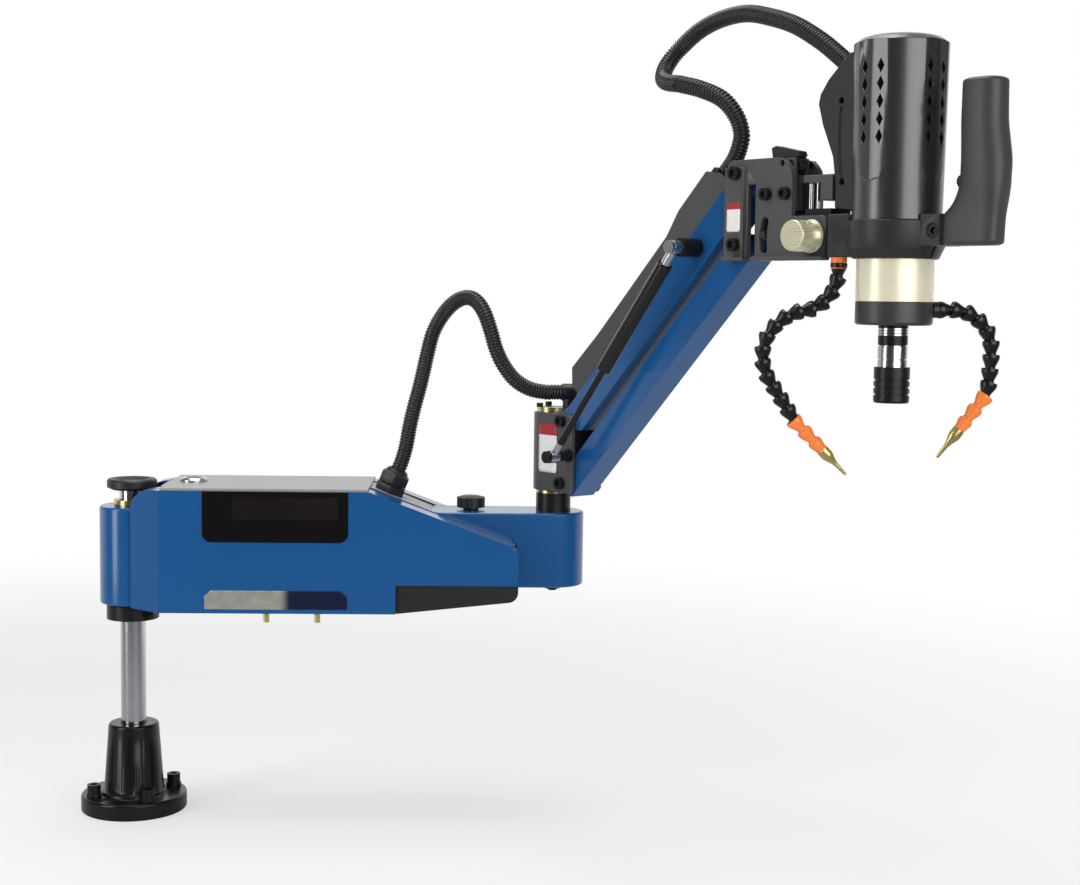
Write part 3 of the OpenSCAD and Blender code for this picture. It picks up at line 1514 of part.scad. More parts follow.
module nozzle_left() {
    at_hose(left_place) at_chain_end(left_angles, left_turn) {
        color("#ff7f3a") nozzle();
        color("#c8b560") brass_tip();
    }
}

module nozzle_right() {
    at_hose(right_place) at_chain_end(right_angles, right_turn) {
        color("#ff7f3a") nozzle();
        color("#c8b560") brass_tip();
    }
}

// Conduits

// Point t of the way from route point i to the next, on a smooth curve through all
function bend(p, i, t) = let (
    a = p[max(i - 1, 0)], b = p[i], c = p[i + 1], d = p[min(i + 2, len(p) - 1)])
    (2 * b + (c - a) * t + (2 * a - 5 * b + 4 * c - d) * t * t
        + (3 * b - a - 3 * c + d) * t * t * t) / 2;

function fine(p, n = 6) =
    [for (i = [0 : len(p) - 2]) for (j = [0 : n - 1]) bend(p, i, j / n), p[len(p) - 1]];

// Length run at each point of a line
function runs(q) = [for (i = 0, s = 0; i < len(q);
    s = s + (i < len(q) - 1 ? norm(q[i + 1] - q[i]) : 0), i = i + 1) s];

// Point of a line at a length, from its points and runs
function along(q, s, d) =
    [for (axis = [0 : 2]) lookup(d, [for (i = [0 : len(q) - 1]) [s[i], q[i][axis]]])];

function unit(v) = v / norm(v);

// Ring of points round a line at a length; side is never along the line
function ring(q, s, d, r, side) = let (
    e = conduit_step / 2, last = s[len(s) - 1],
    t = unit(along(q, s, min(d + e, last)) - along(q, s, max(d - e, 0))),
    u = unit(cross(t, side)), v = cross(t, u), p = along(q, s, d))
    [for (j = [0 : conduit_sides - 1]) let (a = 360 * j / conduit_sides)
        p + r * (cos(a) * u + sin(a) * v)];

// Strip of triangles between rings that start at two indices; turned for a bore
function strip(m, first, inward) = [for (k = [0 : m - 2]) for (j = [0 : conduit_sides - 1])
    let (a = first + k * conduit_sides + j, b = first + k * conduit_sides + (j + 1) % conduit_sides,
        c = b + conduit_sides, d = a + conduit_sides)
    each (inward ? [[a, b, c], [a, c, d]] : [[a, c, b], [a, d, c]])];

// End wall between an outer and an inner ring
function end_wall(outer, inner, far) = [for (j = [0 : conduit_sides - 1])
    let (n = (j + 1) % conduit_sides, a = outer + j, b = outer + n, c = inner + n, d = inner + j)
    each (far ? [[a, c, b], [a, d, c]] : [[a, b, c], [a, c, d]])];

// Ribbed tube with its bore along a route
module ribbed(route, ribs, side) {
    q = fine(route);
    s = runs(q);
    last = s[len(s) - 1];
    m = 2 * ribs + 1;
    n = ceil(ribs / 4) + 1;
    crest = conduit_d / 2;
    outside = [for (k = [0 : m - 1])
        each ring(q, s, last * k / (m - 1), k % 2 == 0 ? crest - conduit_rib : crest, side)];
    inside = [for (k = [0 : n - 1]) each ring(q, s, last * k / (n - 1), conduit_bore_d / 2, side)];
    first = m * conduit_sides;
    polyhedron(concat(outside, inside), concat(
        strip(m, 0, false), strip(n, first, true), end_wall(0, first, false),
        end_wall(first - conduit_sides, first + (n - 1) * conduit_sides, true)));
}

module lower_conduit() {
    color("#1a1a1b") ribbed(lower_route, lower_ribs, [0, 1, 0]);
}

module upper_conduit() {
    color("#1a1a1b")
        ribbed(upper_route, upper_ribs, [-sin(forearm_yaw), -cos(forearm_yaw), 0]);
}

base_flange();
base_bolts();
column();
column_cap();
column_collar();
collar_screw();
arm_casting();
column_bushes();
front_cover();
rear_cover();
top_lid();
lower_tray();
touch_panel();
badge_plate();
air_nipples();
power_connector();
cable_gland();
drive_board();
elbow_shaft();
elbow_nut();
elbow_knob();
elbow_hub();
hub_bushes();
hub_fasteners();
gas_stud();
conduit_socket();
lower_link();
upper_link();
cable_cover();
cover_gland();
gas_boss();
gas_rod();
gas_tube();
end_bracket();
bracket_bolts();
head_carrier();
tilt_knob();
latch_guide();
latch_pins();
latch_block();
lock_lever();
motor_shell();
rear_shroud();
servo_motor();
gearbox_sleeve();
end_ring();
spindle_bearings();
spindle();
chuck_sleeve();
grip();
trigger_button();
clamp_screw();
hose_left_root();
hose_left();
nozzle_left();
hose_right_root();
hose_right();
nozzle_right();
lower_conduit();
upper_conduit();
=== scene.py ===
"""Finishes, conduits, trim, light and camera of an arm tapping machine, around its fixed frame."""

import json
import math
from functools import cache

import bmesh
import bpy
import numpy as np
from mathutils import Matrix, Vector
from mathutils.bvhtree import BVHTree


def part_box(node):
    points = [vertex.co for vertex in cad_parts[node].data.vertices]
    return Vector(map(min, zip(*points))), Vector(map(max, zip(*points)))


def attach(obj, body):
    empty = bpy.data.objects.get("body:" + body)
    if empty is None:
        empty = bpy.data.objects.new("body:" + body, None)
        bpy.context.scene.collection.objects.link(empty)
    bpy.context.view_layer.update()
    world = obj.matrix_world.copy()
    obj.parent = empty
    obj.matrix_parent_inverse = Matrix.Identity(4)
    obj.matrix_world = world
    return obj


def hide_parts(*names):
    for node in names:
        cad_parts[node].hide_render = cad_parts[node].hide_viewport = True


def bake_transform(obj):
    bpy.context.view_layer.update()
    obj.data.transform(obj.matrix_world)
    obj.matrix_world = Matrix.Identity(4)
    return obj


bl_info = {
    "name": "Arm tapping machine",
    "version": (1, 0, 0),
    "blender": (4, 5, 0),
    "location": "3D View > Sidebar > Tapping arm",
    "description": "Dresses the frame of an arm tapping machine with finishes, conduits, light and a camera",
    "category": "Object",
}

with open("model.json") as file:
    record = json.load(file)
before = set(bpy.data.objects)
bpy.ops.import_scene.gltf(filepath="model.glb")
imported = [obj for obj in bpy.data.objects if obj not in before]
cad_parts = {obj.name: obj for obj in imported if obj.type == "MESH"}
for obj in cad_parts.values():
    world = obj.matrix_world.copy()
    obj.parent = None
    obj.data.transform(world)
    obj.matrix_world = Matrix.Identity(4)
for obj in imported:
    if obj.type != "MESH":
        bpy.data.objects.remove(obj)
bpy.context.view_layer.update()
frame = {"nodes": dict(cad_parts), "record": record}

MM = 0.001
PHOTO_W, PHOTO_H = 1080, 885
SENSOR_W = 36.0

# Pivots and axes of the machine at rest, in metres
ELBOW = (0.508, 0.0)
FOREARM_YAW = math.radians(52)
FOREARM_OUT = Vector((math.cos(FOREARM_YAW), -math.sin(FOREARM_YAW), 0))
FOREARM_FRONT = Vector((-math.sin(FOREARM_YAW), -math.cos(FOREARM_YAW), 0))
HEAD = (0.820255, -0.399668)
GAS_OUT = 0.05 * FOREARM_FRONT
GAS_LOW = Vector((0.542477, -0.044129, 0.442)) + GAS_OUT
GAS_HIGH = Vector((0.66376, -0.19937, 0.683)) + GAS_OUT

# Coolant hoses: the first ball of each, and how far each segment is turned from straight down
HOSE_PITCH = 0.0134
LEFT_ROOT = (0.770255, -0.374668, 0.662186)
LEFT_TURNS = (4, 22, 40, 60, 78, 66, 50, 36, 16, -2, -19, -32, -34, -33, -32)
LEFT_NOZZLE_TURN = -45
RIGHT_ROOT = (0.866755, -0.399668, 0.620519)
RIGHT_TURNS = (-90, -78, -58, -40, -18, -2, 3, 4, 18)
RIGHT_NOZZLE_TURN = 37

# Outlines in mm, as places along the axis from the ball's centre and radii there
SEGMENT_OUTLINE = (
    (-2.2, 0.0), (-2.2, 6.4), (-3.4, 7.4), (-3.2, 8.1), (-2.2, 8.5), (0.6, 8.4), (3.2, 7.4), (8.2, 5.2),
    (9.4, 4.9), (10.4, 5.2), (11.6, 6.0), (13.4, 6.4), (15.4, 6.0), (17.6, 4.4), (17.6, 0.0))
NOZZLE_OUTLINE = (
    (-2.2, 0.0), (-2.2, 6.4), (-3.4, 7.4), (-3.2, 8.2), (-2.2, 8.5), (1.0, 8.2), (3.4, 7.2), (8.0, 5.1),
    (10.4, 5.0), (11.6, 6.8), (13.0, 7.8), (16.0, 7.7), (18.6, 6.9), (23.4, 5.1), (25.6, 5.1), (26.8, 6.6),
    (28.2, 7.3), (31.0, 7.2), (36.0, 6.0), (39.0, 5.6), (39.0, 0.0))
TIP_OUTLINE = (
    (37.0, 0.0), (37.0, 4.6), (38.6, 5.0), (39.6, 6.2), (47.0, 6.2), (49.0, 5.7), (55.0, 3.4), (60.0, 2.3),
    (73.0, 1.5), (74.0, 1.2), (74.0, 0.6), (70.0, 0.5), (70.0, 0.0))

# Gland in mm, back along the conduit from its lip: place, half the width across flats, and outer radius
GLAND_OUTLINE = (
    (-28.0, 9.6, 9.6), (0.6, 9.6, 9.6), (0.6, 11.6, 11.6), (-0.6, 12.6, 12.6), (-4.0, 14.4, 14.4),
    (-5.4, 16.4, 17.2), (-6.6, 16.8, 19.2), (-16.4, 16.8, 19.2), (-17.4, 16.4, 18.2), (-17.6, 13.8, 13.8),
    (-19.0, 13.8, 13.8), (-19.2, 17.0, 18.2), (-20.0, 17.4, 19.6), (-27.0, 17.4, 19.6), (-28.0, 17.0, 18.6))

# Grip in mm: height, its nearer and farther side from the spindle's axis, and half its thickness
GRIP_LEVELS = (
    (681.2, 55.6, 119.5, 14.5), (698.0, 55.4, 120.0, 14.5), (707.0, 56.4, 120.6, 14.5),
    (712.0, 62.0, 121.2, 14.8), (720.0, 70.0, 122.4, 15.4), (731.0, 75.6, 124.0, 16.6),
    (742.0, 77.4, 125.0, 17.6), (760.0, 78.0, 125.2, 18.2), (778.0, 77.6, 122.6, 18.0),
    (796.0, 76.8, 120.0, 17.4), (815.0, 76.8, 119.4, 17.0), (835.0, 76.9, 119.1, 16.8))
GRIP_ROUND_MM = 4.0
# Heights between which the grip's outline goes from its foot's squareness to its handle's, and the two powers
GRIP_BLEND = (0.705, 0.745)
GRIP_POWERS = (3.6, 2.5)

# Widths in mm of the rounded edges of the cast, folded and moulded pieces
ROUNDED_MM = {
    "front_cover": 4.0, "rear_cover": 4.0, "arm_casting": 3.0, "top_lid": 1.0, "lower_tray": 2.0,
    "touch_panel": 0.5, "badge_plate": 1.2, "upper_link": 2.4, "lower_link": 2.4, "cable_cover": 2.0,
    "end_bracket": 1.6, "head_carrier": 1.6, "motor_shell": 0.5, "rear_shroud": 3.0, "base_flange": 2.0,
    "elbow_hub": 1.6, "lock_lever": 1.2, "latch_block": 1.2, "tilt_knob": 1.6, "end_ring": 1.2}
# Doubles nearer than this are merged, and faces that turn by less than this angle are joined
MERGE_MM = 0.002
FLAT_DEGREES = 0.3
# An edge is rounded if it turns by more than this angle, and by no more than this share of its wall
CORNER_DEGREES = 28
WALL_SHARE = 0.42
# How many edges away a thin wall still thins the rounding beside it
EVEN_ROUNDS = 6
# Pieces let into others, whose surrounding edges stay nearly sharp
LET_IN = ("touch_panel", "badge_plate")
LET_IN_REACH_MM = 2.0
LET_IN_ROUND_MM = 0.4

# Ends of the spindle's dark neck, ribbed band and dark band below the end ring, and half a rib's pitch
SPINDLE_BANDS = (0.0025, 0.0104, 0.0198)
SPINDLE_RIB = 0.0013

# Middle lines of the conduits in metres: out of the gland, over, and into the hub's socket
LOWER_ROUTE = [
    (0.3195, 0, 0.417), (0.324, 0, 0.428), (0.329, 0.001, 0.446), (0.333, 0.004, 0.469),
    (0.338, 0.008, 0.492), (0.344, 0.012, 0.515), (0.349, 0.017, 0.537), (0.353, 0.021, 0.556),
    (0.360, 0.024, 0.583), (0.372, 0.021, 0.605), (0.386, 0.012, 0.620), (0.400, 0, 0.626),
    (0.412, -0.011, 0.622), (0.422, -0.019, 0.608), (0.430, -0.023, 0.586), (0.436, -0.024, 0.566),
    (0.445, -0.023, 0.547), (0.459, -0.020, 0.529), (0.477, -0.015, 0.518), (0.496, -0.011, 0.514),
    (0.506, -0.010, 0.514), (0.516, -0.010, 0.514)]
# Out of the cover's gland, round the loop and into the motor's shroud
UPPER_ROUTE = [
    (0.679, -0.219, 0.764), (0.686, -0.228, 0.776), (0.690, -0.236, 0.789), (0.691, -0.241, 0.803),
    (0.685, -0.241, 0.821), (0.671, -0.235, 0.839), (0.650, -0.219, 0.851), (0.630, -0.196, 0.859),
    (0.618, -0.170, 0.864), (0.617, -0.146, 0.873), (0.623, -0.131, 0.888), (0.637, -0.131, 0.906),
    (0.656, -0.152, 0.923), (0.676, -0.184, 0.931), (0.697, -0.221, 0.931), (0.717, -0.256, 0.922),
    (0.737, -0.289, 0.909), (0.757, -0.318, 0.890), (0.771, -0.336, 0.874), (0.779, -0.346, 0.864)]
# The upper conduit's point at which its two stretches meet
UPPER_JOIN = 7

# The display field's distances from the panel's left, right, lower and upper edges, in metres
DISPLAY_MARGINS = (0.035, 0.012, 0.027, 0.007)
# Shares of the plate's length between which it turns from pale to dark blue
PLATE_SHARES = (0.52, 0.6)

# Blank labels, in metres: start and width along the forearm, lower and upper end, place towards its front
HUB_LABEL = (0.0010, 0.0325, 0.4190, 0.4770, 0.0246)
BRACKET_LABEL = (0.3075, 0.0190, 0.6985, 0.7285, 0.0287)
HUB_BAND_SHARE = 0.23
BRACKET_BAND_SHARE = 0.22
LABEL_CORNER = 0.0015

# Lamps: name, place, width, height and power in watts, and the point that all are turned to
LAMPS = (
    ("left_softbox", (-1.15, -0.95, 0.85), 0.55, 1.9, 16),
    ("right_softbox", (1.6, -2.2, 1.0), 1.9, 1.5, 30),
    ("top_softbox", (0.25, 0.0, 2.4), 1.4, 1.1, 27))
LAMP_AIM = (0.45, -0.15, 0.5)


def linear(code):
    """Turns an sRGB hex colour to linear.

    A channel c becomes c / 12.92 up to 0.04045, and ((c + 0.055) / 1.055) to the power 2.4 above it.
    """
    parts = [int(code[i:i + 2], 16) / 255 for i in (1, 3, 5)]
    return tuple(c / 12.92 if c <= 0.04045 else ((c + 0.055) / 1.055) ** 2.4 for c in parts)


# Settings

class CameraSettings(bpy.types.PropertyGroup):
    place: bpy.props.FloatVectorProperty(
        name="Place", description="Where the camera stands", subtype="TRANSLATION", unit="LENGTH",
        default=(0.4150, -2.0518, 0.6292))
    turn: bpy.props.FloatProperty(
        name="Turn", description="Turn to the right of straight ahead", unit="ROTATION",
        default=math.radians(2.12))
    fall: bpy.props.FloatProperty(
        name="Fall", description="How far the camera looks down", unit="ROTATION",
        default=math.radians(4.93))
    roll: bpy.props.FloatProperty(
        name="Roll", description="Turn of the camera about its own axis, to the left", unit="ROTATION",
        default=math.radians(0.75))
    focal_px: bpy.props.FloatProperty(
        name="Focal length", description="Focal length in pixels of the photograph", default=1700.0)


class ConduitSettings(bpy.types.PropertyGroup):
    diameter: bpy.props.FloatProperty(
        name="Diameter", description="Outside diameter of the corrugated conduit", unit="LENGTH",
        default=0.0186)
    rib_pitch: bpy.props.FloatProperty(
        name="Rib pitch", description="Distance from one rib to the next", unit="LENGTH", default=0.0036)
    rib_depth: bpy.props.FloatProperty(
        name="Rib depth", description="Depth of the groove between two ribs", unit="LENGTH",
        default=0.0012)
    colour: bpy.props.FloatVectorProperty(
        name="Colour", description="Colour of the conduit's nylon", subtype="COLOR",
        default=linear("#1d1d1e"))


class PaintSettings(bpy.types.PropertyGroup):
    blue: bpy.props.FloatVectorProperty(
        name="Blue", description="Gloss paint of the covers, the arm and the links", subtype="COLOR",
        default=linear("#165188"))
    grey: bpy.props.FloatVectorProperty(
        name="Grey", description="Satin paint of the hub and the bracket", subtype="COLOR",
        default=linear("#474748"))
    black: bpy.props.FloatVectorProperty(
        name="Black", description="Enamel of the base and the cap", subtype="COLOR",
        default=linear("#0e0e0f"))


class LabelSettings(bpy.types.PropertyGroup):
    band: bpy.props.FloatVectorProperty(
        name="Band", description="Colour of the band at the top of a label", subtype="COLOR",
        default=linear("#a8292c"))
    paper: bpy.props.FloatVectorProperty(
        name="Paper", description="Colour of a label's blank field", subtype="COLOR",
        default=linear("#e9e7e6"))
    thickness: bpy.props.FloatProperty(
        name="Thickness", description="Thickness of a label", unit="LENGTH", default=0.0002)


class StageSettings(bpy.types.PropertyGroup):
    floor_radius: bpy.props.FloatProperty(
        name="Floor radius", description="Radius of the pale floor", unit="LENGTH", default=14.0)
    floor_colour: bpy.props.FloatVectorProperty(
        name="Floor colour", description="Colour of the floor near the machine", subtype="COLOR",
        default=linear("#e6e6e8"))
    fill: bpy.props.FloatProperty(
        name="Fill", description="Strength of the light from all round", default=0.30)


# Shapes

def put_mesh(name, points, faces, material):
    """Makes a smooth object at the origin from an (n, 3) array of points and its faces' corner numbers."""
    mesh = bpy.data.meshes.new(name)
    mesh.from_pydata(points.tolist(), [], list(faces))
    mesh.materials.append(material)
    mesh.polygons.foreach_set("use_smooth", np.full(len(mesh.polygons), True))
    mesh.update()
    made = bpy.data.objects.new(name, mesh)
    bpy.context.scene.collection.objects.link(made)
    return made


def grid_faces(rows, columns, closed_rows=False, closed_columns=False):
    """Quads of a grid whose point (i, j) has number i * columns + j; a closed side joins last to first."""
    i = np.arange(rows if closed_rows else rows - 1)[:, None]
    j = np.arange(columns if closed_columns else columns - 1)[None, :]
    i2, j2 = (i + 1) % rows, (j + 1) % columns
    corners = [i * columns + j, i * columns + j2, i2 * columns + j2, i2 * columns + j]
    return np.stack([np.broadcast_to(c, (i.size, j.size)) for c in corners], axis=-1).reshape(-1, 4)


def tube_faces(rows, sides):
    """Quads of a tube of rings, and a fan at each end round a middle point, numbered after the rings."""
    j = np.arange(sides)
    j2 = (j + 1) % sides
    far = (rows - 1) * sides
    near_cap = np.stack([np.full(sides, rows * sides), j2, j], axis=1)
    far_cap = np.stack([np.full(sides, rows * sides + 1), far + j, far + j2], axis=1)
    return grid_faces(rows, sides, closed_columns=True).tolist() + near_cap.tolist() + far_cap.tolist()


def square_to(ahead, across):
    """Two unit directions square to one that runs ahead: side = ahead x across, and up = ahead x side."""
    side = np.cross(ahead, across)
    side = side / np.linalg.norm(side, axis=-1, keepdims=True)
    return side, np.cross(ahead, side)


def smooth_line(points, spacing):
    """Even points along a Catmull-Rom curve.

    Points may have any number of columns. Between b and c with neighbours a and d the curve is half of
    2b + (c - a)t + (2a - 5b + 4c - d)t^2 + (3b - a - 3c + d)t^3. It is then cut at even arc lengths.
    """
    p = np.array(points, float)
    p = np.vstack([2 * p[0] - p[1], p, 2 * p[-1] - p[-2]])
    a, b, c, d = (p[k:len(p) - 3 + k, None, :] for k in range(4))
    t = np.linspace(0, 1, 24, endpoint=False)[None, :, None]
    fine = 0.5 * (2 * b + (c - a) * t + (2 * a - 5 * b + 4 * c - d) * t ** 2
                  + (3 * b - a - 3 * c + d) * t ** 3)
    fine = np.vstack([fine.reshape(-1, p.shape[1]), p[-2]])
    along = np.concatenate([[0], np.cumsum(np.linalg.norm(np.diff(fine, axis=0), axis=1))])
    count = max(2, int(round(along[-1] / spacing)) + 1)
    even = np.linspace(0, along[-1], count)
    return np.stack([np.interp(even, along, fine[:, k]) for k in range(p.shape[1])], axis=1), along[-1]


def sweep(name, line, radii, sides, across, material):
    """A closed round tube: ring k is line[k] + radii[k] (cos u * side + sin u * up), square to the line."""
    ahead = np.gradient(line, axis=0)
    ahead /= np.linalg.norm(ahead, axis=1, keepdims=True)
    side, up = (d[:, None, :] for d in square_to(ahead, across))
    u = np.linspace(0, 2 * np.pi, sides, endpoint=False)[None, :, None]
    rings = line[:, None, :] + radii[:, None, None] * (np.cos(u) * side + np.sin(u) * up)
    points = np.vstack([rings.reshape(-1, 3), line[0], line[-1]])
    return put_mesh(name, points, tube_faces(len(line), sides), material)


def corrugated(name, points, across, sizes, material):
    """A conduit: radius = R - depth * (half of 1 + cos(2 pi s / pitch)) squared, s along its line."""
    rings_a_rib = 6
    line, length = smooth_line(points, sizes.rib_pitch / rings_a_rib)
    along = np.linspace(0, length, len(line))
    groove = (0.5 + 0.5 * np.cos(2 * np.pi * along / sizes.rib_pitch)) ** 2
    radii = sizes.diameter / 2 - sizes.rib_depth * groove
    made = sweep(name, line, radii, 32, np.array(across), material)
    return made, line, length


def spun(name, runs, outline_mm, sides, material):
    """Surfaces of revolution as one mesh: point = base + s * ahead + r * (cos u * side + sin u * up).

    runs holds the base and direction of each, and the outline its places s and radii r, which start and end
    on the axis.
    """
    outline = np.array(outline_mm) * MM
    u = np.linspace(0, 2 * np.pi, sides, endpoint=False)[None, :, None]
    points, faces = [], []
    for base, ahead in runs:
        base, ahead = np.array(base), np.array(ahead) / np.linalg.norm(ahead)
        side, up = square_to(ahead, (0, 1, 0))
        s, r = outline[1:-1, 0, None, None], outline[1:-1, 1, None, None]
        rings = base + s * ahead + r * (np.cos(u) * side + np.sin(u) * up)
        ends = [base + outline[k, 0] * ahead for k in (0, -1)]
        first = sum(len(p) for p in points)
        points += [rings.reshape(-1, 3), np.array(ends)]
        faces += [[corner + first for corner in face] for face in tube_faces(len(outline) - 2, sides)]
    return put_mesh(name, np.vstack(points), faces, material)


def sharp_turns(piece, degrees):
    """Keeps the shading of a piece's edges sharp where its faces turn by more than an angle."""
    piece.data.set_sharp_from_angle(angle=math.radians(degrees))


def chain_balls(root, turns):
    """Centres of a hose's balls: each is one pitch from the last, turned about Y from straight down."""
    a = np.radians(np.array(turns, float))
    steps = HOSE_PITCH * np.stack([-np.sin(a), np.zeros(len(a)), -np.cos(a)], axis=1)
    return np.array(root) + np.vstack([np.zeros(3), np.cumsum(steps, axis=0)])


# Rounded edges

def merged_shape(node):
    """A node's loose triangles as a bmesh with its doubles merged and its flat neighbours joined."""
    source = frame["nodes"][node].data
    points = np.empty(3 * len(source.vertices))
    source.vertices.foreach_get("co", points)
    corners = np.empty(len(source.loops), int)
    source.loops.foreach_get("vertex_index", corners)
    loose = bpy.data.meshes.new(node + "_loose")
    loose.from_pydata(points.reshape(-1, 3).tolist(), [], corners.reshape(-1, 3).tolist())
    shape = bmesh.new()
    shape.from_mesh(loose)
    bpy.data.meshes.remove(loose)
    bmesh.ops.remove_doubles(shape, verts=shape.verts, dist=MERGE_MM * MM)
    flat = math.radians(FLAT_DEGREES)
    bmesh.ops.dissolve_limit(shape, angle_limit=flat, verts=shape.verts, edges=shape.edges)
    return shape


def wall_at(tree, edge, face):
    """Thickness of the wall just under a face, from an edge inwards, or a metre where nothing is hit."""
    skin = 0.15 * MM
    along = (edge.verts[1].co - edge.verts[0].co).normalized()
    inward = face.normal.cross(along)
    middle = (edge.verts[0].co + edge.verts[1].co) / 2
    if inward.dot(face.calc_center_median() - middle) < 0:
        inward.negate()
    under = middle - skin * face.normal + skin * inward
    return tree.ray_cast(under, inward)[3] or 1.0


def edge_weights(shape, width):
    """Share of the width that each edge is rounded by: the whole at a convex corner, less on a thin wall."""
    weights = shape.edges.layers.float.new("bevel_weight_edge")
    tree = BVHTree.FromBMesh(shape)
    boxes = [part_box(name) for name in LET_IN]
    shares = {}
    for edge in shape.edges:
        turns = len(edge.link_faces) == 2 and edge.calc_face_angle() >= math.radians(CORNER_DEGREES)
        if not turns or not edge.is_convex:
            continue
        wall = min(wall_at(tree, edge, face) for face in edge.link_faces)
        share = min(1.0, WALL_SHARE * wall / width)
        middle = (edge.verts[0].co + edge.verts[1].co) / 2
        reach = LET_IN_REACH_MM * MM
        near = any(all(low[k] - reach < middle[k] < high[k] + reach for k in range(3)) for low, high in boxes)
        shares[edge] = min(share, LET_IN_ROUND_MM * MM / width) if near else share
    for _ in range(EVEN_ROUNDS):
        corner = {}
        for edge, share in shares.items():
            for vert in edge.verts:
                corner[vert] = min(share, corner.get(vert, 1.0))
        shares = {edge: min(corner[vert] for vert in edge.verts) for edge in shares}
    for edge, share in shares.items():
        edge[weights] = share


def rounded_copy(node, body, width):
    """Stands a copy of a node with rounded edges in the node's place."""
    shape = merged_shape(node)
    edge_weights(shape, width)
    for face in shape.faces:
        face.smooth = True
    mesh = bpy.data.meshes.new(node + "_rounded")
    shape.to_mesh(mesh)
    shape.free()
    mesh.materials.append(None)
    piece = bpy.data.objects.new(node + "_rounded", mesh)
    bpy.context.scene.collection.objects.link(piece)
    edges = piece.modifiers.new("edges", "BEVEL")
    edges.width = width
    edges.segments = 3
    edges.limit_method = "WEIGHT"
    edges.use_clamp_overlap = False
    edges.harden_normals = True
    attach(piece, body)
    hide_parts(node)
    return piece


# Materials

def add(tree, kind, settings=None, inputs=None):
    """Adds a node: settings are its attributes, and inputs its sockets' values or what is linked to them."""
    made = tree.nodes.new(kind)
    for name, value in (settings or {}).items():
        setattr(made, name, value)
    for name, value in (inputs or {}).items():
        socket = made.inputs[name]
        if isinstance(value, bpy.types.NodeSocket):
            tree.links.new(value, socket)
        else:
            socket.default_value = value
    return made


def start(name, **values):
    """A new material with a Principled shader whose sockets take values, its tree, shader and place."""
    material = bpy.data.materials.new(name)
    material.use_nodes = True
    tree = material.node_tree
    tree.nodes.clear()
    sockets = {k.replace("_", " "): v for k, v in values.items()}
    shader = add(tree, "ShaderNodeBsdfPrincipled", None, sockets)
    add(tree, "ShaderNodeOutputMaterial", None, {"Surface": shader.outputs["BSDF"]})
    place = add(tree, "ShaderNodeTexCoord").outputs["Object"]
    return material, tree, shader, place


def rgba(colour):
    """A colour with full opacity."""
    return (*colour, 1.0)


def maths(tree, operation, first, second=0.0):
    """The result of a maths node on one value or two."""
    return add(tree, "ShaderNodeMath", {"operation": operation}, {0: first, 1: second}).outputs[0]


def below(tree, value, limit):
    """1 where a value is under a limit, else 0."""
    return maths(tree, "LESS_THAN", value, limit)


def ramp(tree, value, start_end, low_high=(0.0, 1.0), soft=True):
    """Goes from low to high while the value goes from start to end, with soft ends or evenly."""
    made = add(tree, "ShaderNodeMapRange", {"interpolation_type": "SMOOTHSTEP" if soft else "LINEAR"}, {
        "Value": value, "From Min": start_end[0], "From Max": start_end[1],
        "To Min": low_high[0], "To Max": low_high[1]})
    return made.outputs["Result"]


def mixed_value(tree, share, first, second):
    """Goes from first to second as share goes from 0 to 1."""
    return add(tree, "ShaderNodeMix", {"data_type": "FLOAT"}, {0: share, 2: first, 3: second}).outputs[0]


def mixed_colour(tree, share, first, second):
    """Goes from one colour to another as share goes from 0 to 1."""
    return add(tree, "ShaderNodeMix", {"data_type": "RGBA"}, {
        0: share, 6: rgba(first), 7: rgba(second)}).outputs[2]


def coordinate(tree, place, axis):
    """The X, Y or Z of a place."""
    return add(tree, "ShaderNodeSeparateXYZ", None, {"Vector": place}).outputs[axis]


def noise(tree, place, size_mm, detail=2.0):
    """An even noise whose grains are about size_mm."""
    made = add(tree, "ShaderNodeTexNoise", None, {"Vector": place, "Scale": 1000 / size_mm, "Detail": detail})
    return made.outputs["Fac"]


def mottled(tree, shader, place, colour, spread, size_mm):
    """The colour with slow changes of brightness, in patches size_mm wide, by the share spread either way."""
    patches = noise(tree, place, size_mm, 3.0)
    scaled = add(tree, "ShaderNodeVectorMath", {"operation": "SCALE"}, {
        0: colour if isinstance(colour, bpy.types.NodeSocket) else tuple(colour),
        "Scale": ramp(tree, patches, (0.3, 0.7), (1 - spread, 1 + spread), soft=False)})
    tree.links.new(scaled.outputs["Vector"], shader.inputs["Base Color"])


def relief(tree, shader, height, depth_mm, edge_mm=0.0):
    """Bump of depth_mm from a height, on edges that catch the light as if rounded by edge_mm."""
    inputs = {"Height": height, "Strength": 1.0, "Distance": depth_mm * MM}
    if edge_mm:
        edge = add(tree, "ShaderNodeBevel", {"samples": 4}, {"Radius": edge_mm * MM})
        inputs["Normal"] = edge.outputs["Normal"]
    bump = add(tree, "ShaderNodeBump", None, inputs)
    tree.links.new(bump.outputs["Normal"], shader.inputs["Normal"])


def uneven_gloss(tree, shader, height, low, high):
    """Roughness that follows a pattern between low and high."""
    gloss = ramp(tree, height, (0.3, 0.7), (low, high), soft=False)
    tree.links.new(gloss, shader.inputs["Roughness"])


def painted(name, colour, gloss, peel_mm=1.6, peel_depth=0.012, edge_mm=0.8, coat=0.0, specular=0.5):
    """Sprayed paint: an even colour, and a soft orange peel that breaks up each reflection."""
    material, tree, shader, place = start(
        name, Roughness=gloss, Coat_Weight=coat, Coat_Roughness=0.06, Specular_IOR_Level=specular)
    mottled(tree, shader, place, colour, 0.035, 90)
    relief(tree, shader, noise(tree, place, peel_mm, 1.0), peel_depth, edge_mm)
    return material


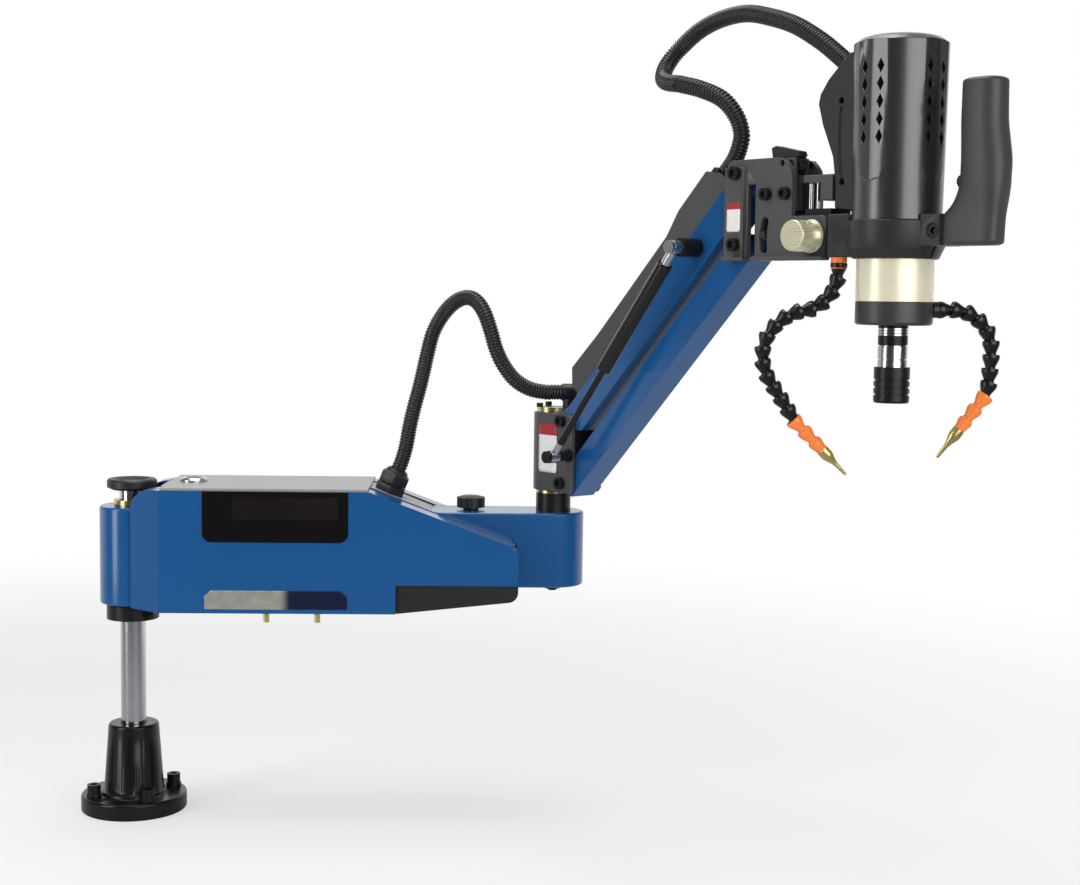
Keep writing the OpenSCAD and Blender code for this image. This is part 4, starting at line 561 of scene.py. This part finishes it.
def moulded(name, colour, roughness, grain_mm=0.9, grain_depth=0.05, edge_mm=0.6, specular=0.5, coat=0.0):
    """Moulded plastic with a spark-eroded grain: tiny rounded cells, duller in the hollows."""
    material, tree, shader, place = start(
        name, Specular_IOR_Level=specular, Coat_Weight=coat, Coat_Roughness=0.2)
    mottled(tree, shader, place, colour, 0.06, 60)
    cells = add(tree, "ShaderNodeTexVoronoi", {"feature": "SMOOTH_F1"}, {
        "Vector": place, "Scale": 1000 / grain_mm, "Smoothness": 0.6})
    uneven_gloss(tree, shader, cells.outputs["Distance"], roughness - 0.05, roughness + 0.07)
    relief(tree, shader, cells.outputs["Distance"], grain_depth, edge_mm)
    return material


def turned(name, colour, roughness, mark_mm=0.35, depth=0.004, edge_mm=0.5, metal=1.0):
    """Lathe-turned metal: fine rings round an upright axis, so a highlight spreads along the part."""
    material, tree, shader, place = start(name, Metallic=metal)
    mottled(tree, shader, place, colour, 0.05, 25)
    along = add(tree, "ShaderNodeMapping", None, {"Vector": place, "Scale": (0.02, 0.02, 1)})
    marks = noise(tree, along.outputs["Vector"], mark_mm)
    uneven_gloss(tree, shader, marks, roughness * 0.8, roughness * 1.25)
    relief(tree, shader, marks, depth, edge_mm)
    return material


def two_parts(tree, shader, mask, first, second):
    """Colour, metal and roughness go from first to second where the mask is 1."""
    tree.links.new(mixed_colour(tree, mask, first[0], second[0]), shader.inputs["Base Color"])
    for socket, k in (("Metallic", 1), ("Roughness", 2)):
        tree.links.new(mixed_value(tree, mask, first[k], second[k]), shader.inputs[socket])


def near_point(tree, place, point, reach):
    """1 within reach of a point, else 0."""
    away = add(tree, "ShaderNodeVectorMath", {"operation": "DISTANCE"}, {0: place, 1: point})
    return below(tree, away.outputs["Value"], reach)


def tipped(name, first, second, point, reach):
    """One piece in two finishes: second within reach of a point, and first elsewhere."""
    material, tree, shader, place = start(name)
    two_parts(tree, shader, near_point(tree, place, point, reach), first, second)
    relief(tree, shader, noise(tree, place, 0.8), 0.01, edge_mm=0.4)
    return material


def gloss_blue(paint):
    # Two-pack polyurethane on cast and folded covers: a deep gloss with soft, long highlights
    return painted("gloss_blue_paint", paint.blue, 0.19, edge_mm=0.0, coat=0.2, specular=0.4)


def black_enamel(paint):
    # Stoved enamel on cast iron: glossy, with the casting's slow waves under it
    return painted("black_enamel_casting", paint.black, 0.28, peel_mm=4.0, peel_depth=0.03, edge_mm=0.0,
                   coat=0.1, specular=0.3)


def grey_satin(paint):
    # Satin powder coat on machined castings: a dry sheen and a fine pebble
    return painted("grey_satin_powder", paint.grey, 0.42, peel_mm=0.8, peel_depth=0.02, edge_mm=0.9)


def shaded_clamp_casting():
    # The same powder coat, on the head's clamp, in a darker grey that is partly painted shade, for the
    # clamp's shaded arm
    return painted("satin_powder_painted_shade", linear("#2b2b2d"), 0.4, peel_mm=0.8, peel_depth=0.02, edge_mm=0.0,
                   specular=0.35)


def chromed_bar():
    # Ground and hard-chromed bar: a mirror that the grinding marks blur along its length
    return turned("ground_chromed_bar", linear("#c3c5c8"), 0.16, mark_mm=0.3, depth=0.003)


def bronze_bush():
    # Turned tin bronze: warm, with a bright rim
    return turned("turned_bronze", linear("#cdbb82"), 0.26)


def grey_deck():
    # Anodised aluminium sheet, fine bead-blasted: pale, even and nearly dull
    material, tree, shader, place = start("blasted_anodised_deck", Metallic=0.35)
    mottled(tree, shader, place, linear("#a6a6a4"), 0.03, 70)
    blast = noise(tree, place, 0.5)
    uneven_gloss(tree, shader, blast, 0.42, 0.5)
    relief(tree, shader, blast, 0.012, 0.5)
    return material


@cache
def black_grained():
    # Moulded ABS with a leather grain
    return moulded("grained_black_abs", linear("#1a1a1c"), 0.42, grain_mm=1.4, grain_depth=0.1)


def screen_glass():
    """Display window: black glass over a display field that shows as a faint brown."""
    # Hard-coated acrylic: a sharp reflection over black
    material, tree, shader, place = start(
        "black_display_glass", Roughness=0.09, IOR=1.49, Coat_Weight=0.6, Coat_Roughness=0.03)
    low, high = (Vector(c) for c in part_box("touch_panel"))
    left, right, lower, upper = DISPLAY_MARGINS
    waves = add(tree, "ShaderNodeTexNoise", None, {"Vector": place, "Scale": 14.0, "Detail": 1.0})
    share = waves.outputs["Fac"]
    for axis, a, b in (("X", low.x + left, high.x - right), ("Z", low.z + lower, high.z - upper)):
        away = maths(tree, "ABSOLUTE", maths(tree, "SUBTRACT", coordinate(tree, place, axis), (a + b) / 2))
        share = maths(tree, "MULTIPLY", below(tree, away, (b - a) / 2), share)
    colour = mixed_colour(tree, share, linear("#0c0c0e"), linear("#241b19"))
    tree.links.new(colour, shader.inputs["Base Color"])
    return material


def brushed_plate():
    """Plate brushed along its length, pale over its first part and dark blue beyond."""
    # Polished stainless steel, bright over its first part and dark blue beyond
    material, tree, shader, place = start("stainless_plate_pale_then_dark_blue", Metallic=0.75)
    low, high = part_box("badge_plate")
    turn = [low[0] + share * (high[0] - low[0]) for share in PLATE_SHARES]
    far = ramp(tree, coordinate(tree, place, "X"), turn)
    mottled(tree, shader, place, mixed_colour(tree, far, linear("#d8d6cb"), linear("#2c3357")), 0.12, 14)
    along = add(tree, "ShaderNodeMapping", None, {"Vector": place, "Scale": (0.015, 1, 1)})
    streaks = add(tree, "ShaderNodeTexNoise", None, {
        "Vector": along.outputs["Vector"], "Scale": 2200.0, "Detail": 3.0})
    uneven_gloss(tree, shader, streaks.outputs["Fac"], 0.16, 0.34)
    relief(tree, shader, streaks.outputs["Fac"], 0.003)
    return material


@cache
def turned_brass():
    # Free-cutting brass, turned
    return turned("turned_brass", linear("#d6c684"), 0.3, depth=0.0, edge_mm=0.0, metal=0.85)


def bright_plated():
    # Zinc and nickel plate: cool, bright and slightly cloudy
    return turned("bright_plated_steel", linear("#c9cbce"), 0.2)


def connector_finish():
    """Plated ring round a dark insert: the insert is what lies within its radius of the connector's axis."""
    # Nickel-plated ring and glass-filled nylon insert
    low, high = (Vector(c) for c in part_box("power_connector"))
    return tipped("plated_connector", (linear("#c9cbce"), 1.0, 0.22), (linear("#1b1b1d"), 0.0, 0.5),
                  ((low.x + high.x) / 2, (low.y + high.y) / 2, high.z), 0.0095)


def circuit_board():
    # Solder resist over glass cloth
    return painted("green_circuit_board", linear("#2c6b41"), 0.4)


def black_oxide():
    # Oiled black oxide on machined steel: dark, with a low oily gloss
    material, tree, shader, place = start("oiled_black_oxide", Metallic=0.55)
    mottled(tree, shader, place, linear("#232324"), 0.12, 12)
    grain = noise(tree, place, 0.6)
    uneven_gloss(tree, shader, grain, 0.3, 0.42)
    relief(tree, shader, grain, 0.01, 0.5)
    return material


def motor_grey():
    # Die-cast aluminium, painted
    return painted("painted_motor_grey", linear("#56595d"), 0.45)


def champagne_sleeve():
    # Nickel-plated and polished steel with a warm tint
    return turned("champagne_plated_sleeve", linear("#ebe5c9"), 0.34, mark_mm=0.8, depth=0.0, edge_mm=0.0,
                  metal=0.3)


def champagne_knob():
    # Electroless nickel on a turned knob: a warm mirror with a soft edge
    return turned("nickel_plated_knob", linear("#d6d3b2"), 0.3, mark_mm=0.8, depth=0.0, edge_mm=0.0,
                  metal=0.5)


def dark_ring():
    # Grey hard-anodised aluminium
    material, tree, shader, place = start("hard_anodised_ring", Metallic=0.45)
    mottled(tree, shader, place, linear("#434345"), 0.04, 30)
    grain = noise(tree, place, 0.5)
    uneven_gloss(tree, shader, grain, 0.36, 0.46)
    relief(tree, shader, grain, 0.008, 0.8)
    return material


def shell_black():
    # Injection-moulded ABS with a fine satin skin: strong soft highlights on black
    return moulded("satin_black_shell", linear("#1d1d20"), 0.34, grain_mm=0.5, grain_depth=0.008, edge_mm=0.0,
                   specular=1.0, coat=0.5)


@cache
def grip_moulding():
    # Moulded polyurethane: dark grey, dry to the touch
    return moulded("moulded_grip", linear("#3a3a3d"), 0.46, grain_mm=0.8, grain_depth=0.03, edge_mm=2.0)


@cache
def hose_black():
    # Acetal copolymer: black and waxy
    return moulded("acetal_hose_segments", linear("#131314"), 0.3, grain_mm=0.6, grain_depth=0.008,
                   edge_mm=0.0)


@cache
def conduit_nylon(colour):
    # Extruded nylon: black, with a soft line of light on each rib
    return moulded("corrugated_nylon", colour, 0.36, grain_mm=0.7, grain_depth=0.006, edge_mm=0.0)


def gas_rod_finish():
    # Nitrided rod, and a zinc-plated eye at its lower end
    return tipped("nitrided_gas_rod", (linear("#3a3a3c"), 0.9, 0.22), (linear("#c9cbcd"), 1.0, 0.28),
                  GAS_LOW, 0.0225)


def gas_tube_finish():
    # Gloss black tube, and a zinc-plated end fitting at its upper end
    return tipped("black_gas_tube", (linear("#141416"), 0.0, 0.2), (linear("#d3d4d6"), 1.0, 0.26),
                  GAS_HIGH, 0.0235)


@cache
def orange_acetal():
    # Orange acetal of the hose fittings
    return moulded("orange_acetal", linear("#f58238"), 0.36, grain_mm=0.6, grain_depth=0.004, edge_mm=0.0)


def spindle_finish():
    """Spindle: bright steel with dark bands, set by height below the end ring."""
    # Ground steel with blackened grooves
    material, tree, shader, place = start("banded_spindle")
    depth = maths(tree, "SUBTRACT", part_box("end_ring")[0][2], coordinate(tree, place, "Z"))
    neck, ribbed, banded = (below(tree, depth, end) for end in SPINDLE_BANDS)
    rib = below(tree, maths(tree, "PINGPONG", depth, SPINDLE_RIB), SPINDLE_RIB / 4)
    lines = maths(tree, "MAXIMUM", maths(tree, "MULTIPLY", rib, ribbed), neck)
    dark = maths(tree, "MAXIMUM", lines, maths(tree, "SUBTRACT", banded, ribbed))
    two_parts(tree, shader, dark, (linear("#c6c8cb"), 1.0, 0.2), (linear("#1d1d1f"), 0.6, 0.35))
    relief(tree, shader, noise(tree, place, 0.5), 0.005, 0.4)
    return material


def label_face(name, labels, split_z):
    """Blank label: a coloured band above height split_z and a pale field below it."""
    # Printed vinyl under a clear film
    material, tree, shader, place = start(name, Roughness=0.35)
    above = maths(tree, "GREATER_THAN", coordinate(tree, place, "Z"), split_z)
    mottled(tree, shader, place, mixed_colour(tree, above, labels.paper, labels.band), 0.03, 6)
    return material


# Labels

def put_label(name, points, split_z, labels, body):
    """A thin label from a (rows, columns, 3) grid of points, thickened outwards, its band above split_z."""
    rows, columns, _ = points.shape
    faces = grid_faces(rows, columns)
    piece = put_mesh(name, points.reshape(-1, 3), faces.tolist(), label_face(name, labels, split_z))
    wall = piece.modifiers.new("thickness", "SOLIDIFY")
    wall.thickness = labels.thickness
    wall.offset = 1
    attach(piece, body)
    return piece


def corner_inset(v, height, corner):
    """How far a label's side draws in at height share v, so that its corners are arcs of radius corner."""
    from_end = np.minimum(v, 1 - v) * height
    inside = np.clip(corner - from_end, 0, corner)
    return corner - np.sqrt(corner ** 2 - inside ** 2)


# Operators

class TAPPING_OT_camera(bpy.types.Operator):
    """Sets the camera at the photograph's place, turned, lowered and rolled as the settings say"""
    bl_idname = "tapping.camera"
    bl_label = "Camera"

    def execute(self, context):
        eye = context.scene.tapping_camera
        ahead = Vector((math.sin(eye.turn) * math.cos(eye.fall), math.cos(eye.turn) * math.cos(eye.fall),
                        -math.sin(eye.fall)))
        level = Vector((math.cos(eye.turn), -math.sin(eye.turn), 0))
        upright = level.cross(ahead)
        right = level * math.cos(eye.roll) + upright * math.sin(eye.roll)
        up = right.cross(ahead)
        data = bpy.data.cameras.new("photo_camera")
        data.sensor_fit = "HORIZONTAL"
        data.sensor_width = SENSOR_W
        data.lens = eye.focal_px * SENSOR_W / PHOTO_W
        data.clip_end = 100
        made = bpy.data.objects.new("photo_camera", data)
        context.scene.collection.objects.link(made)
        turned_to = Matrix((right, up, -ahead)).transposed().to_4x4()
        made.matrix_world = Matrix.Translation(Vector(eye.place)) @ turned_to
        context.scene.camera = made
        return {"FINISHED"}


class TAPPING_OT_conduits(bpy.types.Operator):
    """Makes the two corrugated conduits along their middle lines, the upper one in two stretches"""
    bl_idname = "tapping.conduits"
    bl_label = "Conduits"

    def execute(self, context):
        sizes = context.scene.tapping_conduit
        nylon = conduit_nylon(tuple(sizes.colour))
        front = tuple(FOREARM_FRONT)
        runs = (
            ("lower_conduit_skin", LOWER_ROUTE, (0, 1, 0), "lower_conduit",
             ("control_arm", "hub"), (0.352, 0.02, 0.56), (0.50, -0.01, 0.52)),
            ("upper_conduit_first", UPPER_ROUTE[:UPPER_JOIN + 1], front, "upper_conduit",
             ("upper_link", "end_bracket"), (0.686, -0.228, 0.776), (0.650, -0.219, 0.851)),
            ("upper_conduit_second", UPPER_ROUTE[UPPER_JOIN:], front, "upper_conduit",
             ("end_bracket", "head"), (0.640, -0.140, 0.900), (0.760, -0.320, 0.890)),
        )
        for name, route, across, node, bodies, first, last in runs:
            piece, line, length = corrugated(name, route, across, sizes, nylon)
            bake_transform(piece)
            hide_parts(node)
        return {"FINISHED"}


class TAPPING_OT_hoses(bpy.types.Operator):
    """Makes the jointed coolant hoses, whose sockets open towards the machine, and their nozzles"""
    bl_idname = "tapping.hoses"
    bl_label = "Coolant hoses"

    def execute(self, context):
        self.hose("left", LEFT_ROOT, LEFT_TURNS, LEFT_NOZZLE_TURN)
        self.hose("right", RIGHT_ROOT, RIGHT_TURNS, RIGHT_NOZZLE_TURN)
        return {"FINISHED"}

    def hose(self, hand, root, turns, nozzle_turn):
        balls = chain_balls(root, turns)
        runs = list(zip(balls[:-1], np.diff(balls, axis=0)))
        chain = spun(f"hose_{hand}_chain", runs, SEGMENT_OUTLINE, 24, hose_black())
        turn = math.radians(nozzle_turn)
        end = [(balls[-1], (-math.sin(turn), 0, -math.cos(turn)))]
        nozzle = spun(f"nozzle_{hand}_body", end, NOZZLE_OUTLINE, 32, orange_acetal())
        tip = spun(f"nozzle_{hand}_tip", end, TIP_OUTLINE, 32, turned_brass())
        parts = ((chain, f"hose_{hand}", "hose_black"), (nozzle, f"nozzle_{hand}", "orange_plastic"),
                 (tip, f"nozzle_{hand}", "brass"))
        for piece, node, slot in parts:
            sharp_turns(piece, 40)
            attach(piece, node)
            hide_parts(node)


class TAPPING_OT_gland(bpy.types.Operator):
    """Makes the cable gland's two chamfered nuts, square to the housing's slope"""
    bl_idname = "tapping.gland"
    bl_label = "Cable gland"

    def execute(self, context):
        """Radius at s: the lesser of the outer radius and flat / cos(angle off the nearest flat's middle)."""
        top = np.array(LOWER_ROUTE[0])
        ahead = np.array(LOWER_ROUTE[1]) - top
        ahead /= np.linalg.norm(ahead)
        side, up = square_to(ahead, (0, 1, 0))
        outline = np.array(GLAND_OUTLINE[::-1]) * MM
        u = np.linspace(0, 2 * np.pi, 72, endpoint=False)[None, :]
        off_flat = (u + np.pi / 6) % (np.pi / 3) - np.pi / 6
        s, flat, outer = (outline[:, k, None] for k in range(3))
        r = np.minimum(outer, flat / np.cos(off_flat))[..., None]
        rings = top + s[..., None] * ahead + r * (np.cos(u)[..., None] * side + np.sin(u)[..., None] * up)
        faces = grid_faces(len(outline), u.size, closed_rows=True, closed_columns=True)
        piece = put_mesh("cable_gland_nuts", rings.reshape(-1, 3), faces.tolist(), black_grained())
        sharp_turns(piece, 25)
        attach(piece, "control_arm")
        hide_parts("cable_gland")
        return {"FINISHED"}


class TAPPING_OT_grip(bpy.types.Operator):
    """Makes the moulded grip, which flares into the clamp at its foot"""
    bl_idname = "tapping.grip"
    bl_label = "Grip"

    def execute(self, context):
        """Level z is a squared ellipse |x / a|^n + |y / b|^n = 1 along the forearm, drawn in at both ends."""
        levels, _ = smooth_line(GRIP_LEVELS, 1.5)
        z, near, far, half = (levels[:, k, None] * MM for k in range(4))
        edge = GRIP_ROUND_MM * MM
        from_end = np.clip(edge - np.minimum(z - z[0], z[-1] - z), 0, edge)
        inset = edge - np.sqrt(edge ** 2 - from_end ** 2)
        power = 2 / np.interp(z[:, 0], GRIP_BLEND, GRIP_POWERS)[:, None]
        u = np.linspace(0, 2 * np.pi, 64, endpoint=False)[None, :]
        x = (near + far) / 2 + ((far - near) / 2 - inset) * np.sign(np.cos(u)) * np.abs(np.cos(u)) ** power
        y = (half - inset) * np.sign(np.sin(u)) * np.abs(np.sin(u)) ** power
        across = np.array(Vector((0, 0, 1)).cross(FOREARM_OUT))
        places = np.array([*HEAD, 0]) + x[..., None] * np.array(FOREARM_OUT) + y[..., None] * across
        places[..., 2] = z
        points = np.vstack([places.reshape(-1, 3), places[[0, -1]].mean(axis=1)])
        piece = put_mesh("grip_moulded", points, tube_faces(z.size, u.size), grip_moulding())
        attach(piece, "head")
        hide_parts("grip")
        return {"FINISHED"}


class TAPPING_OT_labels(bpy.types.Operator):
    """Puts the blank labels on the hub's barrel and on the bracket's front"""
    bl_idname = "tapping.labels"
    bl_label = "Labels"

    def execute(self, context):
        labels = context.scene.tapping_label
        self.flat_label("hub_label", labels, HUB_LABEL, HUB_BAND_SHARE, "hub")
        self.flat_label("bracket_label", labels, BRACKET_LABEL, BRACKET_BAND_SHARE, "end_bracket")
        return {"FINISHED"}

    def flat_label(self, name, labels, sizes, band_share, body):
        """On a plane square to the forearm's front: point = elbow + out * along + front * off + (0, 0, z)."""
        along, width, low, high, off = sizes
        v = np.linspace(0, 1, 17)[:, None]
        inset = corner_inset(v, high - low, LABEL_CORNER)
        u = np.linspace(0, 1, 9)[None, :]
        x = along + inset + (width - 2 * inset) * u
        z = low + (high - low) * v + 0 * u
        out, front = np.array(FOREARM_OUT), np.array(FOREARM_FRONT)
        points = np.array([*ELBOW, 0]) + x[..., None] * out + off * front + z[..., None] * np.array([0, 0, 1])
        put_label(name, points, high - band_share * (high - low), labels, body)


class TAPPING_OT_rounding(bpy.types.Operator):
    """Stands copies with rounded edges in place of the cast, folded and moulded pieces"""
    bl_idname = "tapping.rounding"
    bl_label = "Rounded edges"

    def execute(self, context):
        bodies = frame["record"]["behaviour"]["bodies"]
        body_of = {node: body for body, nodes in bodies.items() for node in nodes}
        for node, width_mm in ROUNDED_MM.items():
            rounded_copy(node, body_of[node], width_mm * MM)
        return {"FINISHED"}


class TAPPING_OT_finishes(bpy.types.Operator):
    """Gives every carried-over piece the finish of its slot, or its own where it has more than one"""
    bl_idname = "tapping.finishes"
    bl_label = "Finishes"

    def execute(self, context):
        paint = context.scene.tapping_paint
        by_slot = {
            "black_casting": black_enamel(paint), "ground_steel": chromed_bar(),
            "blue_paint": gloss_blue(paint), "bronze": bronze_bush(), "grey_deck": grey_deck(),
            "black_plastic": black_grained(), "black_screen": screen_glass(),
            "brushed_plate": brushed_plate(), "brass": turned_brass(), "bright_metal": bright_plated(),
            "green_board": circuit_board(), "black_oxide": black_oxide(), "grey_casting": grey_satin(paint),
            "spring_rod": gas_rod_finish(), "spring_tube": gas_tube_finish(), "nickel": champagne_knob(),
            "shell_black": shell_black(), "motor_grey": motor_grey(), "bright_sleeve": champagne_sleeve(),
            "dark_ring": dark_ring(), "grip_moulding": grip_moulding(), "hose_black": hose_black(),
            "orange_plastic": orange_acetal(),
            "conduit_black": conduit_nylon(tuple(context.scene.tapping_conduit.colour))}
        by_node = {
            "head_carrier": shaded_clamp_casting(), "power_connector": connector_finish(),
            "spindle": spindle_finish()}
        slot_of = {part["node"]: part["material_slot"] for part in frame["record"]["subparts"]}
        for name, piece in frame["nodes"].items():
            material = by_node.get(name) or by_slot[slot_of[name]]
            for shown in (piece, bpy.data.objects.get(name + "_rounded")):
                for held in shown.material_slots if shown else ():
                    held.material = material
        return {"FINISHED"}


class TAPPING_OT_stage(bpy.types.Operator):
    """Lays the pale floor and sets the soft lamps and the white surroundings"""
    bl_idname = "tapping.stage"
    bl_label = "Floor and light"

    def execute(self, context):
        settings = context.scene.tapping_stage
        self.lay_floor(context, settings)
        self.set_world(context, settings)
        for name, place, width, height, power in LAMPS:
            data = bpy.data.lights.new(name, "AREA")
            data.shape = "RECTANGLE"
            data.size, data.size_y, data.energy = width, height, power
            lamp = bpy.data.objects.new(name, data)
            context.scene.collection.objects.link(lamp)
            lamp.location = place
            lamp.rotation_euler = (Vector(LAMP_AIM) - Vector(place)).to_track_quat("-Z", "Y").to_euler()
        context.scene.view_settings.view_transform = "Standard"
        return {"FINISHED"}

    def lay_floor(self, context, settings):
        """A flat disc: each radius is the outer one times an even share squared, closest in the middle."""
        material, tree, shader, place = start("pale_floor", Roughness=0.6)
        shader.inputs["Base Color"].default_value = rgba(settings.floor_colour)
        away = add(tree, "ShaderNodeVectorMath", {"operation": "LENGTH"}, {0: place})
        far = ramp(tree, away.outputs["Value"], (0.5, 2.2), (0.55, 1.0))
        path = add(tree, "ShaderNodeLightPath").outputs
        seen = maths(tree, "MAXIMUM", path["Is Camera Ray"], path["Is Glossy Ray"])
        seen = maths(tree, "MAXIMUM", seen, path["Is Transmission Ray"])
        behind = ramp(tree, coordinate(tree, place, "Y"), (-0.4, 0.8), (0.06, 1.0))
        mirrored = mixed_value(tree, path["Is Glossy Ray"], 1.0, behind)
        glow = add(tree, "ShaderNodeEmission", None, {"Color": (1, 1, 1, 1), "Strength": mirrored})
        mixed = add(tree, "ShaderNodeMixShader", None, {
            0: maths(tree, "MULTIPLY", seen, far), 1: shader.outputs["BSDF"], 2: glow.outputs["Emission"]})
        output = next(n for n in tree.nodes if n.type == "OUTPUT_MATERIAL")
        tree.links.new(mixed.outputs["Shader"], output.inputs["Surface"])
        rows, columns = 40, 96
        radius = settings.floor_radius * np.linspace(0.02, 1, rows)[:, None] ** 2
        angle = np.linspace(0, 2 * np.pi, columns, endpoint=False)[None, :]
        level = np.zeros((rows, columns))
        points = np.stack([radius * np.cos(angle), radius * np.sin(angle), level], axis=-1)
        faces = grid_faces(rows, columns, closed_columns=True)[:, ::-1]
        floor = put_mesh("floor", points.reshape(-1, 3), faces.tolist(), material)

    def set_world(self, context, settings):
        """White behind the machine, grey in front, and a plain level of light from all round."""
        world = bpy.data.worlds.new("studio")
        context.scene.world = world
        world.use_nodes = True
        tree = world.node_tree
        tree.nodes.clear()
        direction = add(tree, "ShaderNodeTexCoord").outputs["Generated"]
        behind = ramp(tree, coordinate(tree, direction, "Y"), (0.1, 0.9), (0.05, 1.0))
        path = add(tree, "ShaderNodeLightPath").outputs
        mirrored = mixed_value(tree, path["Is Glossy Ray"], settings.fill, behind)
        clear = maths(tree, "MAXIMUM", path["Is Camera Ray"], path["Is Transmission Ray"])
        strength = mixed_value(tree, clear, mirrored, 1.0)
        sky = add(tree, "ShaderNodeBackground", None, {"Color": (1, 1, 1, 1), "Strength": strength})
        add(tree, "ShaderNodeOutputWorld", None, {"Surface": sky.outputs["Background"]})


OPERATORS = (
    TAPPING_OT_camera, TAPPING_OT_conduits, TAPPING_OT_hoses, TAPPING_OT_gland, TAPPING_OT_grip,
    TAPPING_OT_labels, TAPPING_OT_rounding, TAPPING_OT_finishes, TAPPING_OT_stage)


class TAPPING_PT_panel(bpy.types.Panel):
    """Lists the steps that dress the machine"""
    bl_idname = "TAPPING_PT_panel"
    bl_label = "Tapping arm"
    bl_space_type = "VIEW_3D"
    bl_region_type = "UI"
    bl_category = "Tapping arm"

    def draw(self, context):
        for step in OPERATORS:
            self.layout.operator(step.bl_idname)


GROUPS = {
    "tapping_camera": CameraSettings, "tapping_conduit": ConduitSettings, "tapping_paint": PaintSettings,
    "tapping_label": LabelSettings, "tapping_stage": StageSettings}


def register():
    for name, group in GROUPS.items():
        bpy.utils.register_class(group)
        setattr(bpy.types.Scene, name, bpy.props.PointerProperty(type=group))
    for item in (*OPERATORS, TAPPING_PT_panel):
        bpy.utils.register_class(item)


def unregister():
    for item in reversed((*OPERATORS, TAPPING_PT_panel)):
        bpy.utils.unregister_class(item)
    for name, group in reversed(GROUPS.items()):
        delattr(bpy.types.Scene, name)
        bpy.utils.unregister_class(group)


def main():
    register()
    for step in OPERATORS:
        group, name = step.bl_idname.split(".")
        getattr(getattr(bpy.ops, group), name)()


if __name__ == "__main__":
    main()
